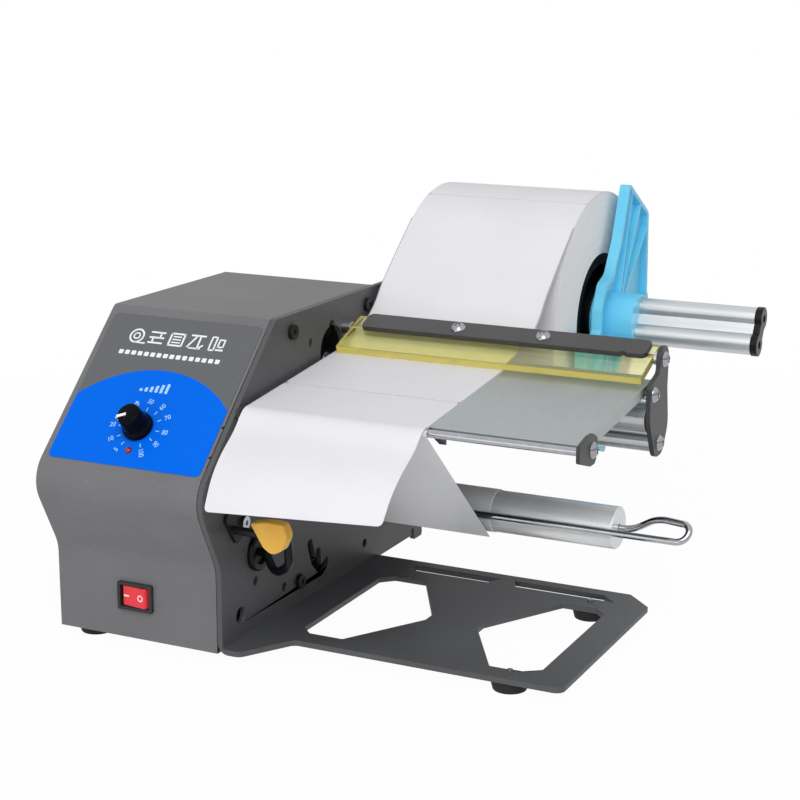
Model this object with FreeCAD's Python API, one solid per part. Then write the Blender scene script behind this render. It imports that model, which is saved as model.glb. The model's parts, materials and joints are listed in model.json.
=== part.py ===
"""Label dispenser machine: a desk machine that peels labels off their liner and winds the liner up."""
import FreeCAD, Part
import math
import os

# Directions of the drafting frame: X runs to the right along the rollers, Y to the back, Z up.
# X is 0 on the side plate's outer face, Y is 0 on the housing's lower front, Z is 0 under the feet.

# Sheet metal
plate_thickness = 3.0
cover_sheet = 1.5
sheet_gap = 0.3
overrun = 1.0
facet = 0.01

# Housing
housing_width = 99.0
housing_depth = 174.0
housing_top = 167.8
foot_height = 6.0
knee_height = 51.0
knee_radius = 20.0
nose_forward = 20.3
nose_height = 91.3
nose_radius = 18.0
face_top_depth = 58.4
top_bend_radius = 4.0
back_bend_radius = 3.0
cover_flange = 18.0
edge_hole_places = [66.4, 84.1]
edge_hole_side = 0.9
edge_hole_radius = 0.7
vent_count = 7
vent_width = 3.0
vent_length = 44.0
vent_pitch = 9.0
vent_from_back = 34.0
vent_height = 96.0

# Side plate behind the housing
arm_back = 278.0
arm_corner_radius = 20.0
arm_low_height = 112.0
arm_low_radius = 15.0
tail_depth = 234.0
tail_height = 64.0
tail_radius = 12.0
tab_width = 11.5
tab_bottom = 2.5
tab_notch_width = 3.5
tab_notch_height = 10.6
bend_radius = 6.0

# Base plate
base_right = 172.0
base_front = 27.5
base_back = 170.0
base_step_start = 9.6
base_step_end = 26.0
base_corner_radius = 5.0
base_chamfer = 15.0
window_side = 21.5
window_front = 40.0
window_back = 140.0
window_front_cut = 6.6
window_shoulder = 47.0
window_point = 73.0
window_point_low = 84.5
window_point_high = 93.0
window_corner_radius = 1.0
window_middle = 88.0
slot_back = 162.0
slot_width = 8.0
left_slot_start = 31.0
left_slot_end = 83.0
right_slot_start = 91.5
right_slot_end = 144.0
slot_skew = 4.0
right_slot_skew = 8.5

# Feet
foot_radius = 10.0
foot_top_radius = 8.5
foot_inset = 12.0
foot_front_inset = 14.0
base_foot_x = 140.9
base_foot_front = 37.8
base_foot_back = 150.0
foot_screw_radius = 1.5
foot_screw_head_radius = 3.2
foot_screw_head = 1.6
foot_screw_length = 7.0
foot_recess_radius = 3.6

# Control face
sticker_thickness = 0.3
sticker_left = 95.5
sticker_right = 5.0
sticker_top = 5.5
sticker_bottom = 96.0
sticker_corner_radius = 3.0
knob_x = -50.2
knob_down = 73.0
knob_radius = 8.2
knob_skirt_height = 4.0
knob_body_radius = 6.9
knob_top_radius = 6.0
knob_height = 14.0
knob_edge_radius = 0.6
knob_gap = 0.5
knob_flare = 0.6
pointer_width = 1.1
pointer_length = 5.0
pointer_depth = 0.4
pointer_angle = 205.0
pot_shaft_radius = 3.0
pot_shaft_depth = 9.0
pot_bush_radius = 3.5
pot_nut_radius = 5.2
pot_nut_height = 1.4
pot_body_radius = 8.0
pot_body_depth = 10.0
running_clearance = 0.05
lamp_down = 86.7
lamp_radius = 1.9
lamp_proud = 1.2
lamp_depth = 8.0
lamp_holder_radius = 3.2
lamp_holder_depth = 5.0

# Rocker switch
switch_x = -51.1
switch_height = 29.1
bezel_width = 21.0
bezel_height = 15.0
bezel_thickness = 2.0
bezel_corner_radius = 1.2
switch_body_width = 19.2
switch_body_height = 12.9
switch_body_depth = 16.0
switch_wall = 1.8
rocker_gap = 0.35
rocker_angle = 7.0
rocker_proud = 1.8
rocker_depth = 6.0
rocker_pivot_depth = 3.0
rocker_pin_radius = 0.9
terminal_width = 4.8
terminal_thickness = 0.8
terminal_length = 7.0
terminal_pitch = 7.0

# Side plate holes, as depth and height pairs with a radius
grommet_depth = 35.6
grommet_height = 50.4
grommet_hole_radius = 7.0
side_screw_depth = 79.3
side_screw_height = 20.7
top_screw_depth = 74.3
top_screw_height = 158.6
back_screw_depth = 160.0
small_hole_radius = 2.3
first_hole_depth = 34.0
first_hole_height = 34.8
second_hole_depth = 63.5
second_hole_height = 22.3
third_hole_depth = 156.8
third_hole_height = 19.6
upper_hole_depth = 95.2
upper_hole_height = 148.8
cable_hole_depth = 18.3
cable_hole_height = 21.2
cable_hole_radius = 4.2
window_hole_depth = 119.0
window_hole_height = 141.0
window_hole_radius = 13.0
window_notch_radius = 3.0
fork_slot_width = 5.2
fork_depth = 104.5
fork_height = 16.4
fork_rise = 19.0
fork_reach = 12.5
fork_prong_shares = [((0, 0), (-0.68, 0.42)), ((-0.68, 0.42), (-1, 1)), ((-0.2, 0.15), (-0.26, 0.6)),
                     ((0, 0), (0.49, 0.16))]

# Platform
platform_left = 2.3
platform_width = 177.7
platform_front = 25.2
platform_back = 125.0
platform_front_height = 130.7
platform_slope = 6.0
platform_sheet = 2.0
platform_flange = 5.0
rod_radius = 2.0
front_bracket_thickness = 2.0
tie_rod_radius = 3.0
front_tie_depth = 34.5
rear_tie_depth = 117.5
support_x = 104.0
support_width = 4.0
support_front = 23.0
support_back = 33.0
support_bottom = 120.5

# Link bracket and what it carries
link_inner = 181.0
link_thickness = 2.5
lower_rod_radius = 5.0
lower_rod_depth = 128.0
lower_rod_drop = 14.6
roller_radius = 8.0
roller_depth = 121.5
roller_drop = 18.2
roller_axle_radius = 2.5
roller_end_gap = 1.0
dome_radius = 4.2
dome_height = 2.6
dome_socket_radius = 1.6
dome_socket_depth = 1.2
dome_shank_radius = 1.5
dome_shank_length = 8.0

# Presser
presser_left = 6.0
presser_right = 178.0
presser_front_depth = 111.5
presser_front_height = 144.6
presser_slope = 21.5
presser_length = 31.5
presser_thickness = 4.0
presser_pivot_along = 21.8
presser_pin_radius = 1.5
presser_pin_depth = 9.0
bar_left = 13.3
bar_right = 175.0
bar_front_along = 17.0
bar_width = 13.5
bar_thickness = 3.0
bar_corner_radius = 3.0
bar_notch = 1.2
bar_notch_x = 163.0
bar_screw_first = 68.4
bar_screw_second = 116.8
bar_screw_along = 24.4
spacer_radius = 3.5

# Winder
winder_depth = 109.5
winder_height = 66.0
winder_radius = 11.0
winder_right = 170.0
winder_start = 0.8
winder_edge = 0.8
journal_radius = 5.0
journal_hole_radius = 8.0
journal_length = 24.0
bearing_radius = 13.0
bearing_length = 8.0
bearing_fit = 0.1
gear_module = 1.5
winder_teeth = 40
drive_teeth = 20
gear_width = 8.0
gear_start = 13.0
gear_backlash = 0.3
gear_rim = 5.0
gear_hub_radius = 9.0
gear_web = 3.0
tooth_top_share = 0.22
tooth_root_share = 0.64
tooth_depth_share = 1.2
motor_shaft_radius = 3.0
motor_radius = 18.5
motor_length = 52.0
motor_plate_start = 27.0
motor_plate_thickness = 2.0
motor_plate_margin = 6.0
motor_cap_radius = 14.0
motor_cap_length = 6.0
post_radius = 3.5
post_front = 15.0
post_front_rise = 22.0
post_back = 12.0
post_back_rise = 30.0

# Hairpin clip
wire_radius = 1.75
clip_leg_start = 55.0
clip_pin_length = 40.0
clip_hole_radius = 2.1
clip_loop_end = 38.2
clip_loop_points = [(40.6, -7.5, 8.7), (21.5, -3.5, 9.0)]
clip_neck = 7.0
clip_bends = [6.0, 4.4, 20.0, 18.0]
clip_angle = 175.0
clip_touch = 0.1

# Roll
roll_depth = 257.0
roll_height = 143.5
roll_radius = 73.0
label_left = 3.0
label_width = 100.0
core_radius = 37.5
core_wall = 3.0
plug_length = 14.0
plug_web = 3.0
plug_rim = 3.0
boss_radius = 17.0
boss_clearance = 0.1
lobe_radius = 6.0
lobe_spacing = 15.8
waist_half_width = 3.6
shaft_start = -14.0
shaft_end = 195.5
shaft_tilt = 60.0
shaft_wall = 1.6
cap_length = 4.0
cap_lip = 0.5
cap_plug_length = 8.0
cap_screw_radius = 2.0
cap_screw_depth = 0.8
mount_thickness = 12.0
mount_margin = 5.0
mount_corner_radius = 4.0
inner_head_radius = 2.8
mount_screw_spread = 8.0
disc_start = 0.3
disc_thickness = 1.6
disc_radius = 44.0
disc_boss_length = 6.0

# Guide flange; its outline is in shares of its reach, depth and height from the shaft's axis, and a radius
flange_inner = 108.0
flange_thickness = 6.0
flange_web = 2.4
flange_rim = 2.6
flange_reach = 77.0
flange_outline_share = [(0.20, 1.00, 0.03), (0.03, 0.58, 0.20), (-0.12, 0.35, 0.08), (-0.26, 0.30, 0.08),
                        (-0.35, 0.12, 0.10), (-0.36, -0.065, 0.05), (-0.73, -0.03, 0.02),
                        (-0.68, -0.10, 0.05), (-0.66, -0.73, 0.065)]
flange_hub_radius = 15.5
flange_hub_length = 20.0
flange_boss_length = 8.0
flange_slide_gap = 0.1
flange_rib = 1.6
flange_rib_angles = [44.0, 60.0, 74.0]

# Paper; the tables are shares of the free span and of the hanging label, run and rise
liner_thickness = 0.2
label_thickness = 0.3
paper_gap = 0.3
web_leave_angle = 128.0
web_sag_share = [(0.24, 0.105), (0.44, 0.29), (0.585, 0.505)]
web_sag_radius = 45.0
label_hang = 47.2
label_drop = 40.8
label_hang_share = [(1, 1), (0.826, 0.68), (0.63, 0.458), (0.348, 0.236)]
label_flat_share = 0.13
label_hang_radius = 22.0
wrap_thickness = 0.4

# Label sensor; outlines are in shares of the hood's width and of the bracket's length
sensor_hood_x = 13.6
sensor_hood_low = 60.6
sensor_hood_width = 21.5
hood_outline_share = [(0.0, 0.70, 0.04), (0.45, 0.79, 0.45), (0.87, 0.775, 0.09), (1.0, 0.5, 0.25),
                      (0.83, 0.14, 0.22), (0.58, 0.0, 0.22), (0.34, 0.15, 0.26)]
sensor_hood_front = 5.6
sensor_hood_deep = 6.4
sensor_hood_wall = 1.2
hood_rounding = 0.9
bracket_depth = 3.0
bracket_height = 52.0
bracket_length = 45.0
bracket_outline_share = [(-0.06, 0.61, 0.06), (0.22, 0.19, 0.06), (0.58, 0.36, 0.06), (0.40, 0.55, 0.1)]
sensor_bracket_thickness = 2.0
sensor_screw_depth = 19.7
sensor_screw_height = 70.7
sensor_arm_end = 20.0
sensor_arm_radius = 2.2
sensor_arm_forward = 10.1
sensor_arm_drop = 1.2
grommet_radius = 10.0
grommet_thickness = 3.0
grommet_dish_radius = 6.4
grommet_dish = 1.6
cable_radius = 2.2
cable_route = [(25.0, sensor_hood_front + sensor_hood_wall, 67.0), (25.0, 23.0, 67.0), (24.5, 26.0, 49.0),
               (13.0, 31.0, 41.5), (5.5, grommet_depth, grommet_height), (-9.0, grommet_depth, grommet_height)]
cable_radii = [7.0, 9.0, 7.0, 4.5]

# Boards and supply inside the housing
board_width = 52.0
board_depth = 60.0
board_thickness = 1.6
board_left = 92.0
board_back_gap = 14.0
board_rise = 8.0
board_post_inset = 4.0
board_post_radius = 2.5
chip_height = 5.0
heat_sink_height = 18.0
supply_width = 46.0
supply_depth = 40.0
supply_height = 30.0
supply_left = 92.0
supply_front = 24.0
inlet_x = -50.0
inlet_height = 40.0
inlet_width = 27.0
inlet_tall = 20.0
inlet_depth = 20.0
inlet_flange = 3.0
inlet_flange_thickness = 2.0
inlet_wall = 3.0
inlet_pin_width = 4.0
inlet_pin_thickness = 2.0
inlet_pin_length = 12.0
inlet_pin_pitch = 7.0

# Screws of the covers and of the side plate
screw_head_radius = 3.6
screw_head_height = 1.8
screw_shank_radius = 1.5
screw_length = 6.0
side_head_radius = 4.1
side_head_height = 2.4


# Shared geometry

def vector(x, y, z):
    return FreeCAD.Vector(x, y, z)


def polar(radius, degrees):
    return radius * math.cos(math.radians(degrees)), radius * math.sin(math.radians(degrees))


def toward(a, b):
    """Unit direction and distance from one plane point to another."""
    length = math.hypot(b[0] - a[0], b[1] - a[1])
    return ((b[0] - a[0]) / length, (b[1] - a[1]) / length), length


def round_corner(before, corner, after, radius):
    """Start, middle and end of the arc that rounds a corner, as plane points."""
    back, back_length = toward(corner, before)
    ahead, ahead_length = toward(corner, after)
    half = math.acos(max(-1, min(1, back[0] * ahead[0] + back[1] * ahead[1]))) / 2
    run = min(radius / math.tan(half), back_length / 2, ahead_length / 2)
    radius = run * math.tan(half)
    bisector = (back[0] + ahead[0], back[1] + ahead[1])
    size = math.hypot(bisector[0], bisector[1])
    reach = math.hypot(run, radius) - radius
    middle = (corner[0] + bisector[0] / size * reach, corner[1] + bisector[1] / size * reach)
    start = (corner[0] + back[0] * run, corner[1] + back[1] * run)
    end = (corner[0] + ahead[0] * run, corner[1] + ahead[1] * run)
    return start, middle, end


def closed_wire(corners, place):
    """Wire through plane corners (a, b, radius); place turns a plane point into a vector."""
    pieces = []
    for i, (a, b, radius) in enumerate(corners):
        before = corners[i - 1]
        after = corners[(i + 1) % len(corners)]
        if radius:
            pieces.append(round_corner(before[:2], (a, b), after[:2], radius))
        else:
            pieces.append(((a, b), None, (a, b)))
    edges = []
    for i, (start, middle, end) in enumerate(pieces):
        if middle:
            edges.append(Part.Arc(place(start), place(middle), place(end)).toShape())
        following = pieces[(i + 1) % len(pieces)][0]
        if math.dist(end, following) > facet:
            edges.append(Part.LineSegment(place(end), place(following)).toShape())
    return Part.Wire(edges)


def plate_x(corners, x_low, thickness):
    """Plate whose outline lies in depth and height, thick along X."""
    wire = closed_wire(corners, lambda p: vector(x_low, p[0], p[1]))
    return Part.Face(wire).extrude(vector(thickness, 0, 0))


def plate_z(corners, z_low, thickness):
    """Plate whose outline lies in X and depth, thick along Z."""
    wire = closed_wire(corners, lambda p: vector(p[0], p[1], z_low))
    return Part.Face(wire).extrude(vector(0, 0, thickness))


def plate_y(corners, y_low, thickness):
    """Plate whose outline lies in X and height, thick along Y."""
    wire = closed_wire(corners, lambda p: vector(p[0], y_low, p[1]))
    return Part.Face(wire).extrude(vector(0, thickness, 0))


def box(x0, x1, y0, y1, z0, z1):
    return Part.makeBox(x1 - x0, y1 - y0, z1 - z0, vector(x0, y0, z0))


def rod_x(x0, x1, y, z, radius):
    return Part.makeCylinder(radius, x1 - x0, vector(x0, y, z), vector(1, 0, 0))


def rod_y(x, y0, y1, z, radius):
    return Part.makeCylinder(radius, y1 - y0, vector(x, y0, z), vector(0, 1, 0))


def rod_z(x, y, z0, z1, radius):
    return Part.makeCylinder(radius, z1 - z0, vector(x, y, z0), vector(0, 0, 1))


def tube_x(x0, x1, y, z, outer, inner):
    return rod_x(x0, x1, y, z, outer).cut(rod_x(x0 - overrun, x1 + overrun, y, z, inner))


def rounded_rectangle(a0, a1, b0, b1, radius):
    return [(a0, b0, radius), (a1, b0, radius), (a1, b1, radius), (a0, b1, radius)]


def capsule_outline(a, b, width):
    """Outline of a slot of the given width between two plane points."""
    way, length = toward(a, b)
    side = (-way[1] * width / 2, way[0] * width / 2)
    tip = (way[0] * width / 2, way[1] * width / 2)
    start = (a[0] - tip[0], a[1] - tip[1])
    end = (b[0] + tip[0], b[1] + tip[1])
    return [(start[0] - side[0], start[1] - side[1], width / 2 - facet),
            (end[0] - side[0], end[1] - side[1], width / 2 - facet),
            (end[0] + side[0], end[1] + side[1], width / 2 - facet),
            (start[0] + side[0], start[1] + side[1], width / 2 - facet)]


def strip_outline(path, thickness):
    """Closed outline of a strip; path holds the (a, b, radius) corners of its lower face."""
    upper = []
    for i, (a, b, radius) in enumerate(path):
        ways = []
        if i > 0:
            ways.append(toward(path[i - 1][:2], (a, b))[0])
        if i < len(path) - 1:
            ways.append(toward((a, b), path[i + 1][:2])[0])
        first, last = ways[0], ways[-1]
        normal = (-(first[1] + last[1]), first[0] + last[0])
        size = math.hypot(normal[0], normal[1])
        normal = (normal[0] / size, normal[1] / size)
        stretch = thickness / (normal[0] * -first[1] + normal[1] * first[0])
        turn = first[0] * last[1] - first[1] * last[0]
        grown = radius - thickness if turn > 0 else radius + thickness
        upper.append((a + normal[0] * stretch, b + normal[1] * stretch, grown if radius else 0))
    return list(path) + upper[::-1]


def dome_screw(head_radius, head_height, shank_radius, shank_length):
    """Round-headed socket screw along +X with its head's seat at the origin."""
    sphere_radius = (head_radius ** 2 + head_height ** 2) / (2 * head_height)
    ball = Part.makeSphere(sphere_radius, vector(head_height - sphere_radius, 0, 0))
    head = ball.common(rod_x(0, head_height + overrun, 0, 0, head_radius))
    socket = rod_x(head_height - dome_socket_depth, head_height + overrun, 0, 0, dome_socket_radius)
    shank = rod_x(-shank_length, facet, 0, 0, shank_radius)
    return head.cut(socket).fuse(shank).removeSplitter()


def moved(shape, x, y, z):
    copy = shape.copy()
    copy.translate(vector(x, y, z))
    return copy


def turned(shape, axis, degrees):
    copy = shape.copy()
    copy.rotate(vector(0, 0, 0), axis, degrees)
    return copy


def group(shapes):
    return Part.makeCompound(shapes)


# Places that several pieces share

base_bottom = foot_height
base_top = base_bottom + plate_thickness
cavity_left = cover_sheet - housing_width
cavity_right = -plate_thickness
face_rise = housing_top - nose_height
face_run = face_top_depth + nose_forward
face_angle = math.degrees(math.atan2(face_rise, face_run))
platform_tangent = math.tan(math.radians(platform_slope))
platform_cosine = math.cos(math.radians(platform_slope))
link_outer = link_inner + link_thickness
label_right = label_left + label_width
clip_reach = winder_radius + wrap_thickness + clip_touch + wire_radius
platform_right = platform_left + platform_width


def platform_top(depth):
    return platform_front_height + (depth - platform_front) * platform_tangent


def platform_underside(depth):
    return platform_top(depth) - platform_sheet / platform_cosine


front_tie_height = platform_underside(front_tie_depth) - tie_rod_radius / platform_cosine
rear_tie_height = platform_underside(rear_tie_depth) - tie_rod_radius / platform_cosine
roller_height = platform_top(roller_depth) - roller_drop
lower_rod_height = roller_height - lower_rod_drop
rod_depth = platform_front - rod_radius - paper_gap
rod_height = platform_top(rod_depth) - (rod_radius + paper_gap) / platform_cosine
presser_along = polar(1, presser_slope)


def on_presser(along, above):
    """Depth and height of a point along the presser's top face and above it."""
    depth = presser_front_depth + along * presser_along[0] - above * presser_along[1]
    height = presser_front_height + along * presser_along[1] + above * presser_along[0]
    return depth, height


presser_pivot = on_presser(presser_pivot_along, -presser_thickness / 2)


def on_face(shape):
    """Moves a shape drawn on the XY plane onto the sloping control face."""
    copy = shape.copy()
    copy.rotate(vector(0, 0, 0), vector(1, 0, 0), face_angle)
    copy.translate(vector(0, face_top_depth, housing_top))
    return copy


def on_shaft(shape):
    """Moves a shape drawn about the X axis onto the roll shaft, turned to its tilt."""
    copy = turned(shape, vector(1, 0, 0), shaft_tilt)
    copy.translate(vector(0, roll_depth, roll_height))
    return copy


def housing_profile():
    """Outline of the housing seen from the side."""
    return [(0, base_bottom, 0), (0, knee_height, knee_radius), (-nose_forward, nose_height, nose_radius),
            (face_top_depth, housing_top, top_bend_radius), (housing_depth, housing_top, back_bend_radius),
            (housing_depth, base_bottom, 0)]


def inset(corners, distance):
    """Closed outline drawn in by a distance on every side; corners run clockwise seen along +X."""
    drawn = []
    for i, (a, b, radius) in enumerate(corners):
        before = toward(corners[i - 1][:2], (a, b))[0]
        after = toward((a, b), corners[(i + 1) % len(corners)][:2])[0]
        normal = (before[1] + after[1], -(before[0] + after[0]))
        size = math.hypot(normal[0], normal[1])
        normal = (normal[0] / size, normal[1] / size)
        stretch = distance / (normal[0] * before[1] - normal[1] * before[0])
        turn = before[0] * after[1] - before[1] * after[0]
        changed = max(radius - distance, facet) if turn < 0 else radius + distance
        drawn.append((a + normal[0] * stretch, b + normal[1] * stretch, changed if radius else 0))
    return drawn


def bent_tube(points, radius, bends):
    """Round bar along straight runs joined by tangent arcs; bends holds a radius for each inner point."""
    spots = [vector(*p) for p in points]
    edges = []
    start = spots[0]
    for i in range(1, len(spots) - 1):
        back = (spots[i - 1] - spots[i]).normalize()
        ahead = (spots[i + 1] - spots[i]).normalize()
        half = back.getAngle(ahead) / 2
        run = bends[i - 1] / math.tan(half)
        bisector = (back + ahead).normalize()
        middle = spots[i] + bisector * (math.hypot(run, bends[i - 1]) - bends[i - 1])
        entry = spots[i] + back * run
        leave = spots[i] + ahead * run
        edges.append(Part.LineSegment(start, entry).toShape())
        edges.append(Part.Arc(entry, middle, leave).toShape())
        start = leave
    edges.append(Part.LineSegment(start, spots[-1]).toShape())
    path = Part.Wire(edges)
    section = Part.Wire([Part.makeCircle(radius, spots[0], spots[1] - spots[0])])
    return path.makePipeShell([section], True, False)


# Side and base plate

def rear_outline():
    """Side plate behind the face, with the arm that carries the roll and the tab behind the feet."""
    tab_front = tail_depth - tab_width
    notch_front = tab_front - tab_notch_width
    edge = tab_notch_width / 2 - facet
    return [(arm_back, housing_top, arm_corner_radius), (arm_back, arm_low_height, arm_low_radius),
            (tail_depth, tail_height, tail_radius), (tail_depth, tab_bottom, edge),
            (tab_front, tab_bottom, edge), (tab_front, tab_notch_height, edge),
            (notch_front, tab_notch_height, edge), (notch_front, base_bottom, 0)]


def base_outline():
    return [(-plate_thickness, 0, 0), (base_step_start, 0, base_corner_radius),
            (base_step_end, base_front, base_corner_radius), (base_right, base_front, base_corner_radius),
            (base_right, base_back - base_chamfer, base_corner_radius / 2),
            (base_right - base_chamfer, base_back, base_corner_radius / 2), (-plate_thickness, base_back, 0)]


def window_outline(mirrored):
    """Pointed window in the base plate; its mirrored twin lies beyond the middle between them."""
    cut = window_front_cut
    corners = [(window_side, window_front + cut), (window_side + cut, window_front),
               (window_shoulder, window_front), (window_point, window_point_low),
               (window_point, window_point_high), (window_shoulder, window_back),
               (window_side + cut, window_back), (window_side, window_back - cut)]
    if mirrored:
        corners = [(2 * window_middle - x, y) for x, y in corners]
    return [(x, y, window_corner_radius) for x, y in corners]


def base_slots():
    low = slot_back - slot_width
    left = [(left_slot_start, slot_back, 0), (left_slot_end, slot_back, 0),
            (left_slot_end - slot_skew, low, 0), (left_slot_start - slot_skew / 2, low, 0)]
    right = [(right_slot_start, slot_back, 0), (right_slot_end, slot_back, 0),
             (right_slot_end + right_slot_skew, low, 0), (right_slot_start + slot_skew, low, 0)]
    return [left, right]


def fork_slots():
    """Prongs that meet in one slot, each from one depth and height to another."""
    root = fork_height + fork_slot_width / 2
    return [[(fork_depth + a * fork_reach, root + b * fork_rise) for a, b in ends]
            for ends in fork_prong_shares]


def side_base_plate():
    corners = housing_profile()[:4] + rear_outline()
    plate = plate_x(corners, -plate_thickness, plate_thickness)
    plate = plate.fuse(plate_z(base_outline(), base_bottom, plate_thickness)).removeSplitter()
    reach = -plate_thickness + bend_radius
    corner = box(-plate_thickness - overrun, reach, -overrun, base_back + overrun,
                 base_bottom - overrun, base_bottom + bend_radius)
    bend = rod_y(reach, -2 * overrun, base_back + 2 * overrun, base_bottom + bend_radius, bend_radius)
    cuts = [corner.cut(bend)]
    low = base_bottom - overrun
    deep = plate_thickness + 2 * overrun
    for outline in [window_outline(False), window_outline(True)] + base_slots():
        cuts.append(plate_z(outline, low, deep))
    for start, end in fork_slots():
        cuts.append(plate_x(capsule_outline(start, end, fork_slot_width), -deep, 2 * deep))
    holes = [(first_hole_depth, first_hole_height, small_hole_radius),
             (second_hole_depth, second_hole_height, small_hole_radius),
             (third_hole_depth, third_hole_height, small_hole_radius),
             (upper_hole_depth, upper_hole_height, small_hole_radius),
             (cable_hole_depth, cable_hole_height, cable_hole_radius),
             (window_hole_depth, window_hole_height, window_hole_radius),
             (window_hole_depth, window_hole_height + window_hole_radius, window_notch_radius),
             (grommet_depth, grommet_height, grommet_hole_radius),
             (winder_depth, winder_height, journal_hole_radius),
             (presser_pivot[0], presser_pivot[1], presser_pin_radius),
             (sensor_screw_depth, sensor_screw_height, screw_shank_radius)]
    holes += [(depth, height, screw_shank_radius) for depth, height in side_screw_places()]
    holes += [(depth, height, dome_shank_radius) for depth, height in tie_places()]
    holes += [(depth, height, screw_shank_radius) for depth, height in mount_screw_places()]
    for depth, height, radius in holes:
        cuts.append(rod_x(-plate_thickness - overrun, overrun, depth, height, radius))
    for x, y in base_feet():
        cuts.append(rod_z(x, y, low, low + deep, foot_screw_radius))
    cuts.append(on_shaft(lobed_bar(-plate_thickness - overrun, overrun, 0)))
    return plate.cut(group(cuts)).removeSplitter()


def side_screw_places():
    """Screws that hold the housing's flange to the side plate."""
    return [(side_screw_depth, side_screw_height), (top_screw_depth, top_screw_height),
            (back_screw_depth, top_screw_height)]


def tie_places():
    return [(front_tie_depth, front_tie_height), (rear_tie_depth, rear_tie_height),
            (lower_rod_depth, lower_rod_height), (roller_depth, roller_height)]


# Housing

def cover_ring(x_low):
    outer = inset(housing_profile(), cover_sheet)
    inner = inset(housing_profile(), cover_sheet + cover_flange)
    return plate_x(outer, x_low, cover_sheet).cut(plate_x(inner, x_low - overrun, cover_sheet + 2 * overrun))


def front_top_cover():
    """Bent sheet that makes the front, the control face, the top and the back, with a flange each side."""
    width = housing_width - plate_thickness
    shell = plate_x(housing_profile(), -housing_width, width)
    lowered = [(a, b - cover_sheet - overrun if b == base_bottom else b, r) for a, b, r in housing_profile()]
    shell = shell.cut(plate_x(inset(lowered, cover_sheet), -housing_width - overrun, width + 2 * overrun))
    left_ring = cover_ring(cavity_left + sheet_gap)
    right_ring = cover_ring(cavity_right - cover_sheet)
    shell = shell.fuse([left_ring, right_ring]).removeSplitter()
    through = 2 * cover_sheet
    cuts = [on_face(rod_z(knob_x, -knob_down, -through, through, pot_bush_radius)),
            on_face(rod_z(knob_x, -lamp_down, -through, through, lamp_radius)),
            box(switch_x - switch_body_width / 2, switch_x + switch_body_width / 2, -through, through,
                switch_height - switch_body_height / 2, switch_height + switch_body_height / 2),
            box(inlet_x - inlet_width / 2, inlet_x + inlet_width / 2, housing_depth - through,
                housing_depth + through, inlet_height - inlet_tall / 2, inlet_height + inlet_tall / 2)]
    for down in edge_hole_places:
        cuts.append(on_face(rod_z(cavity_right - edge_hole_side, -down, -through, through, edge_hole_radius)))
    for depth, height in side_screw_places():
        cuts.append(rod_x(cavity_right - through, cavity_right + through, depth, height, screw_shank_radius))
    for depth, height in cover_screw_places():
        cuts.append(rod_x(-housing_width, cavity_left + through, depth, height, screw_shank_radius))
    for depth, height in tie_places() + [presser_pivot]:
        cuts.append(rod_x(cavity_right - through, cavity_right, depth, height, dome_radius + sheet_gap))
    return shell.cut(group(cuts)).removeSplitter()


def cover_screw_places():
    """Screws of the left cover, in the flange behind it."""
    edge = cover_sheet + cover_flange / 2
    return [(edge, base_bottom + edge), (housing_depth - edge, base_bottom + edge),
            (housing_depth - edge, housing_top - edge), (face_top_depth + edge, housing_top - edge)]


def left_cover():
    outline = inset(housing_profile(), cover_sheet + sheet_gap)
    cover = plate_x(outline, cavity_left + sheet_gap - cover_sheet, cover_sheet)
    cuts = []
    for i in range(vent_count):
        depth = housing_depth - vent_from_back - i * vent_pitch
        slot = capsule_outline((depth, vent_height - vent_length / 2),
                               (depth, vent_height + vent_length / 2), vent_width)
        cuts.append(plate_x(slot, -housing_width - overrun, cover_sheet + 2 * overrun))
    for depth, height in cover_screw_places():
        cuts.append(rod_x(-housing_width - overrun, cavity_left + overrun, depth, height,
                          screw_shank_radius))
    return cover.cut(group(cuts))


def floor_panel():
    edge = cover_sheet + sheet_gap
    panel = box(cavity_left + edge, cavity_right, edge, housing_depth - edge, base_bottom,
                base_bottom + cover_sheet)
    cuts = [rod_z(x, y, 0, base_top, foot_screw_radius) for x, y in housing_feet()]
    return panel.cut(group(cuts))


def flat_screw(x_face, depth, height, way, head_radius, head_height, length):
    """Pan-head screw that enters along X; way is the side its head stands on."""
    head = rod_x(min(x_face, x_face + way * head_height), max(x_face, x_face + way * head_height),
                 depth, height, head_radius)
    tip = x_face - way * length
    shank = rod_x(min(x_face, tip), max(x_face, tip), depth, height, screw_shank_radius)
    outer = x_face + way * head_height
    recess = rod_x(min(outer - way * head_height / 2, outer + way * overrun),
                   max(outer - way * head_height / 2, outer + way * overrun), depth, height, head_radius / 3)
    return head.fuse(shank).cut(recess).removeSplitter()


def cover_screws():
    face = cavity_left + sheet_gap - cover_sheet
    return group([flat_screw(face, y, z, -1, screw_head_radius, screw_head_height, screw_length)
                  for y, z in cover_screw_places()])


def side_screws():
    return group([flat_screw(0, y, z, 1, side_head_radius, side_head_height, screw_length)
                  for y, z in side_screw_places()])


# Feet

def housing_feet():
    x = foot_inset - housing_width
    return [(x, foot_front_inset + cover_sheet), (x, housing_depth - foot_front_inset)]


def base_feet():
    return [(base_foot_x, base_foot_front), (base_foot_x, base_foot_back)]


def rubber_feet():
    feet = []
    for x, y in housing_feet() + base_feet():
        foot = Part.makeCone(foot_top_radius, foot_radius, foot_height, vector(x, y, 0), vector(0, 0, 1))
        foot = foot.cut(rod_z(x, y, -overrun, foot_height / 2, foot_recess_radius))
        feet.append(foot.cut(rod_z(x, y, 0, foot_height + overrun, foot_screw_radius)))
    return group(feet)


def foot_screws():
    screws = []
    for x, y in housing_feet() + base_feet():
        seat = foot_height / 2
        head = rod_z(x, y, seat - foot_screw_head, seat, foot_screw_head_radius)
        shank = rod_z(x, y, seat, seat + foot_screw_length, foot_screw_radius)
        screws.append(head.fuse(shank).removeSplitter())
    return group(screws)


# Control face

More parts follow.
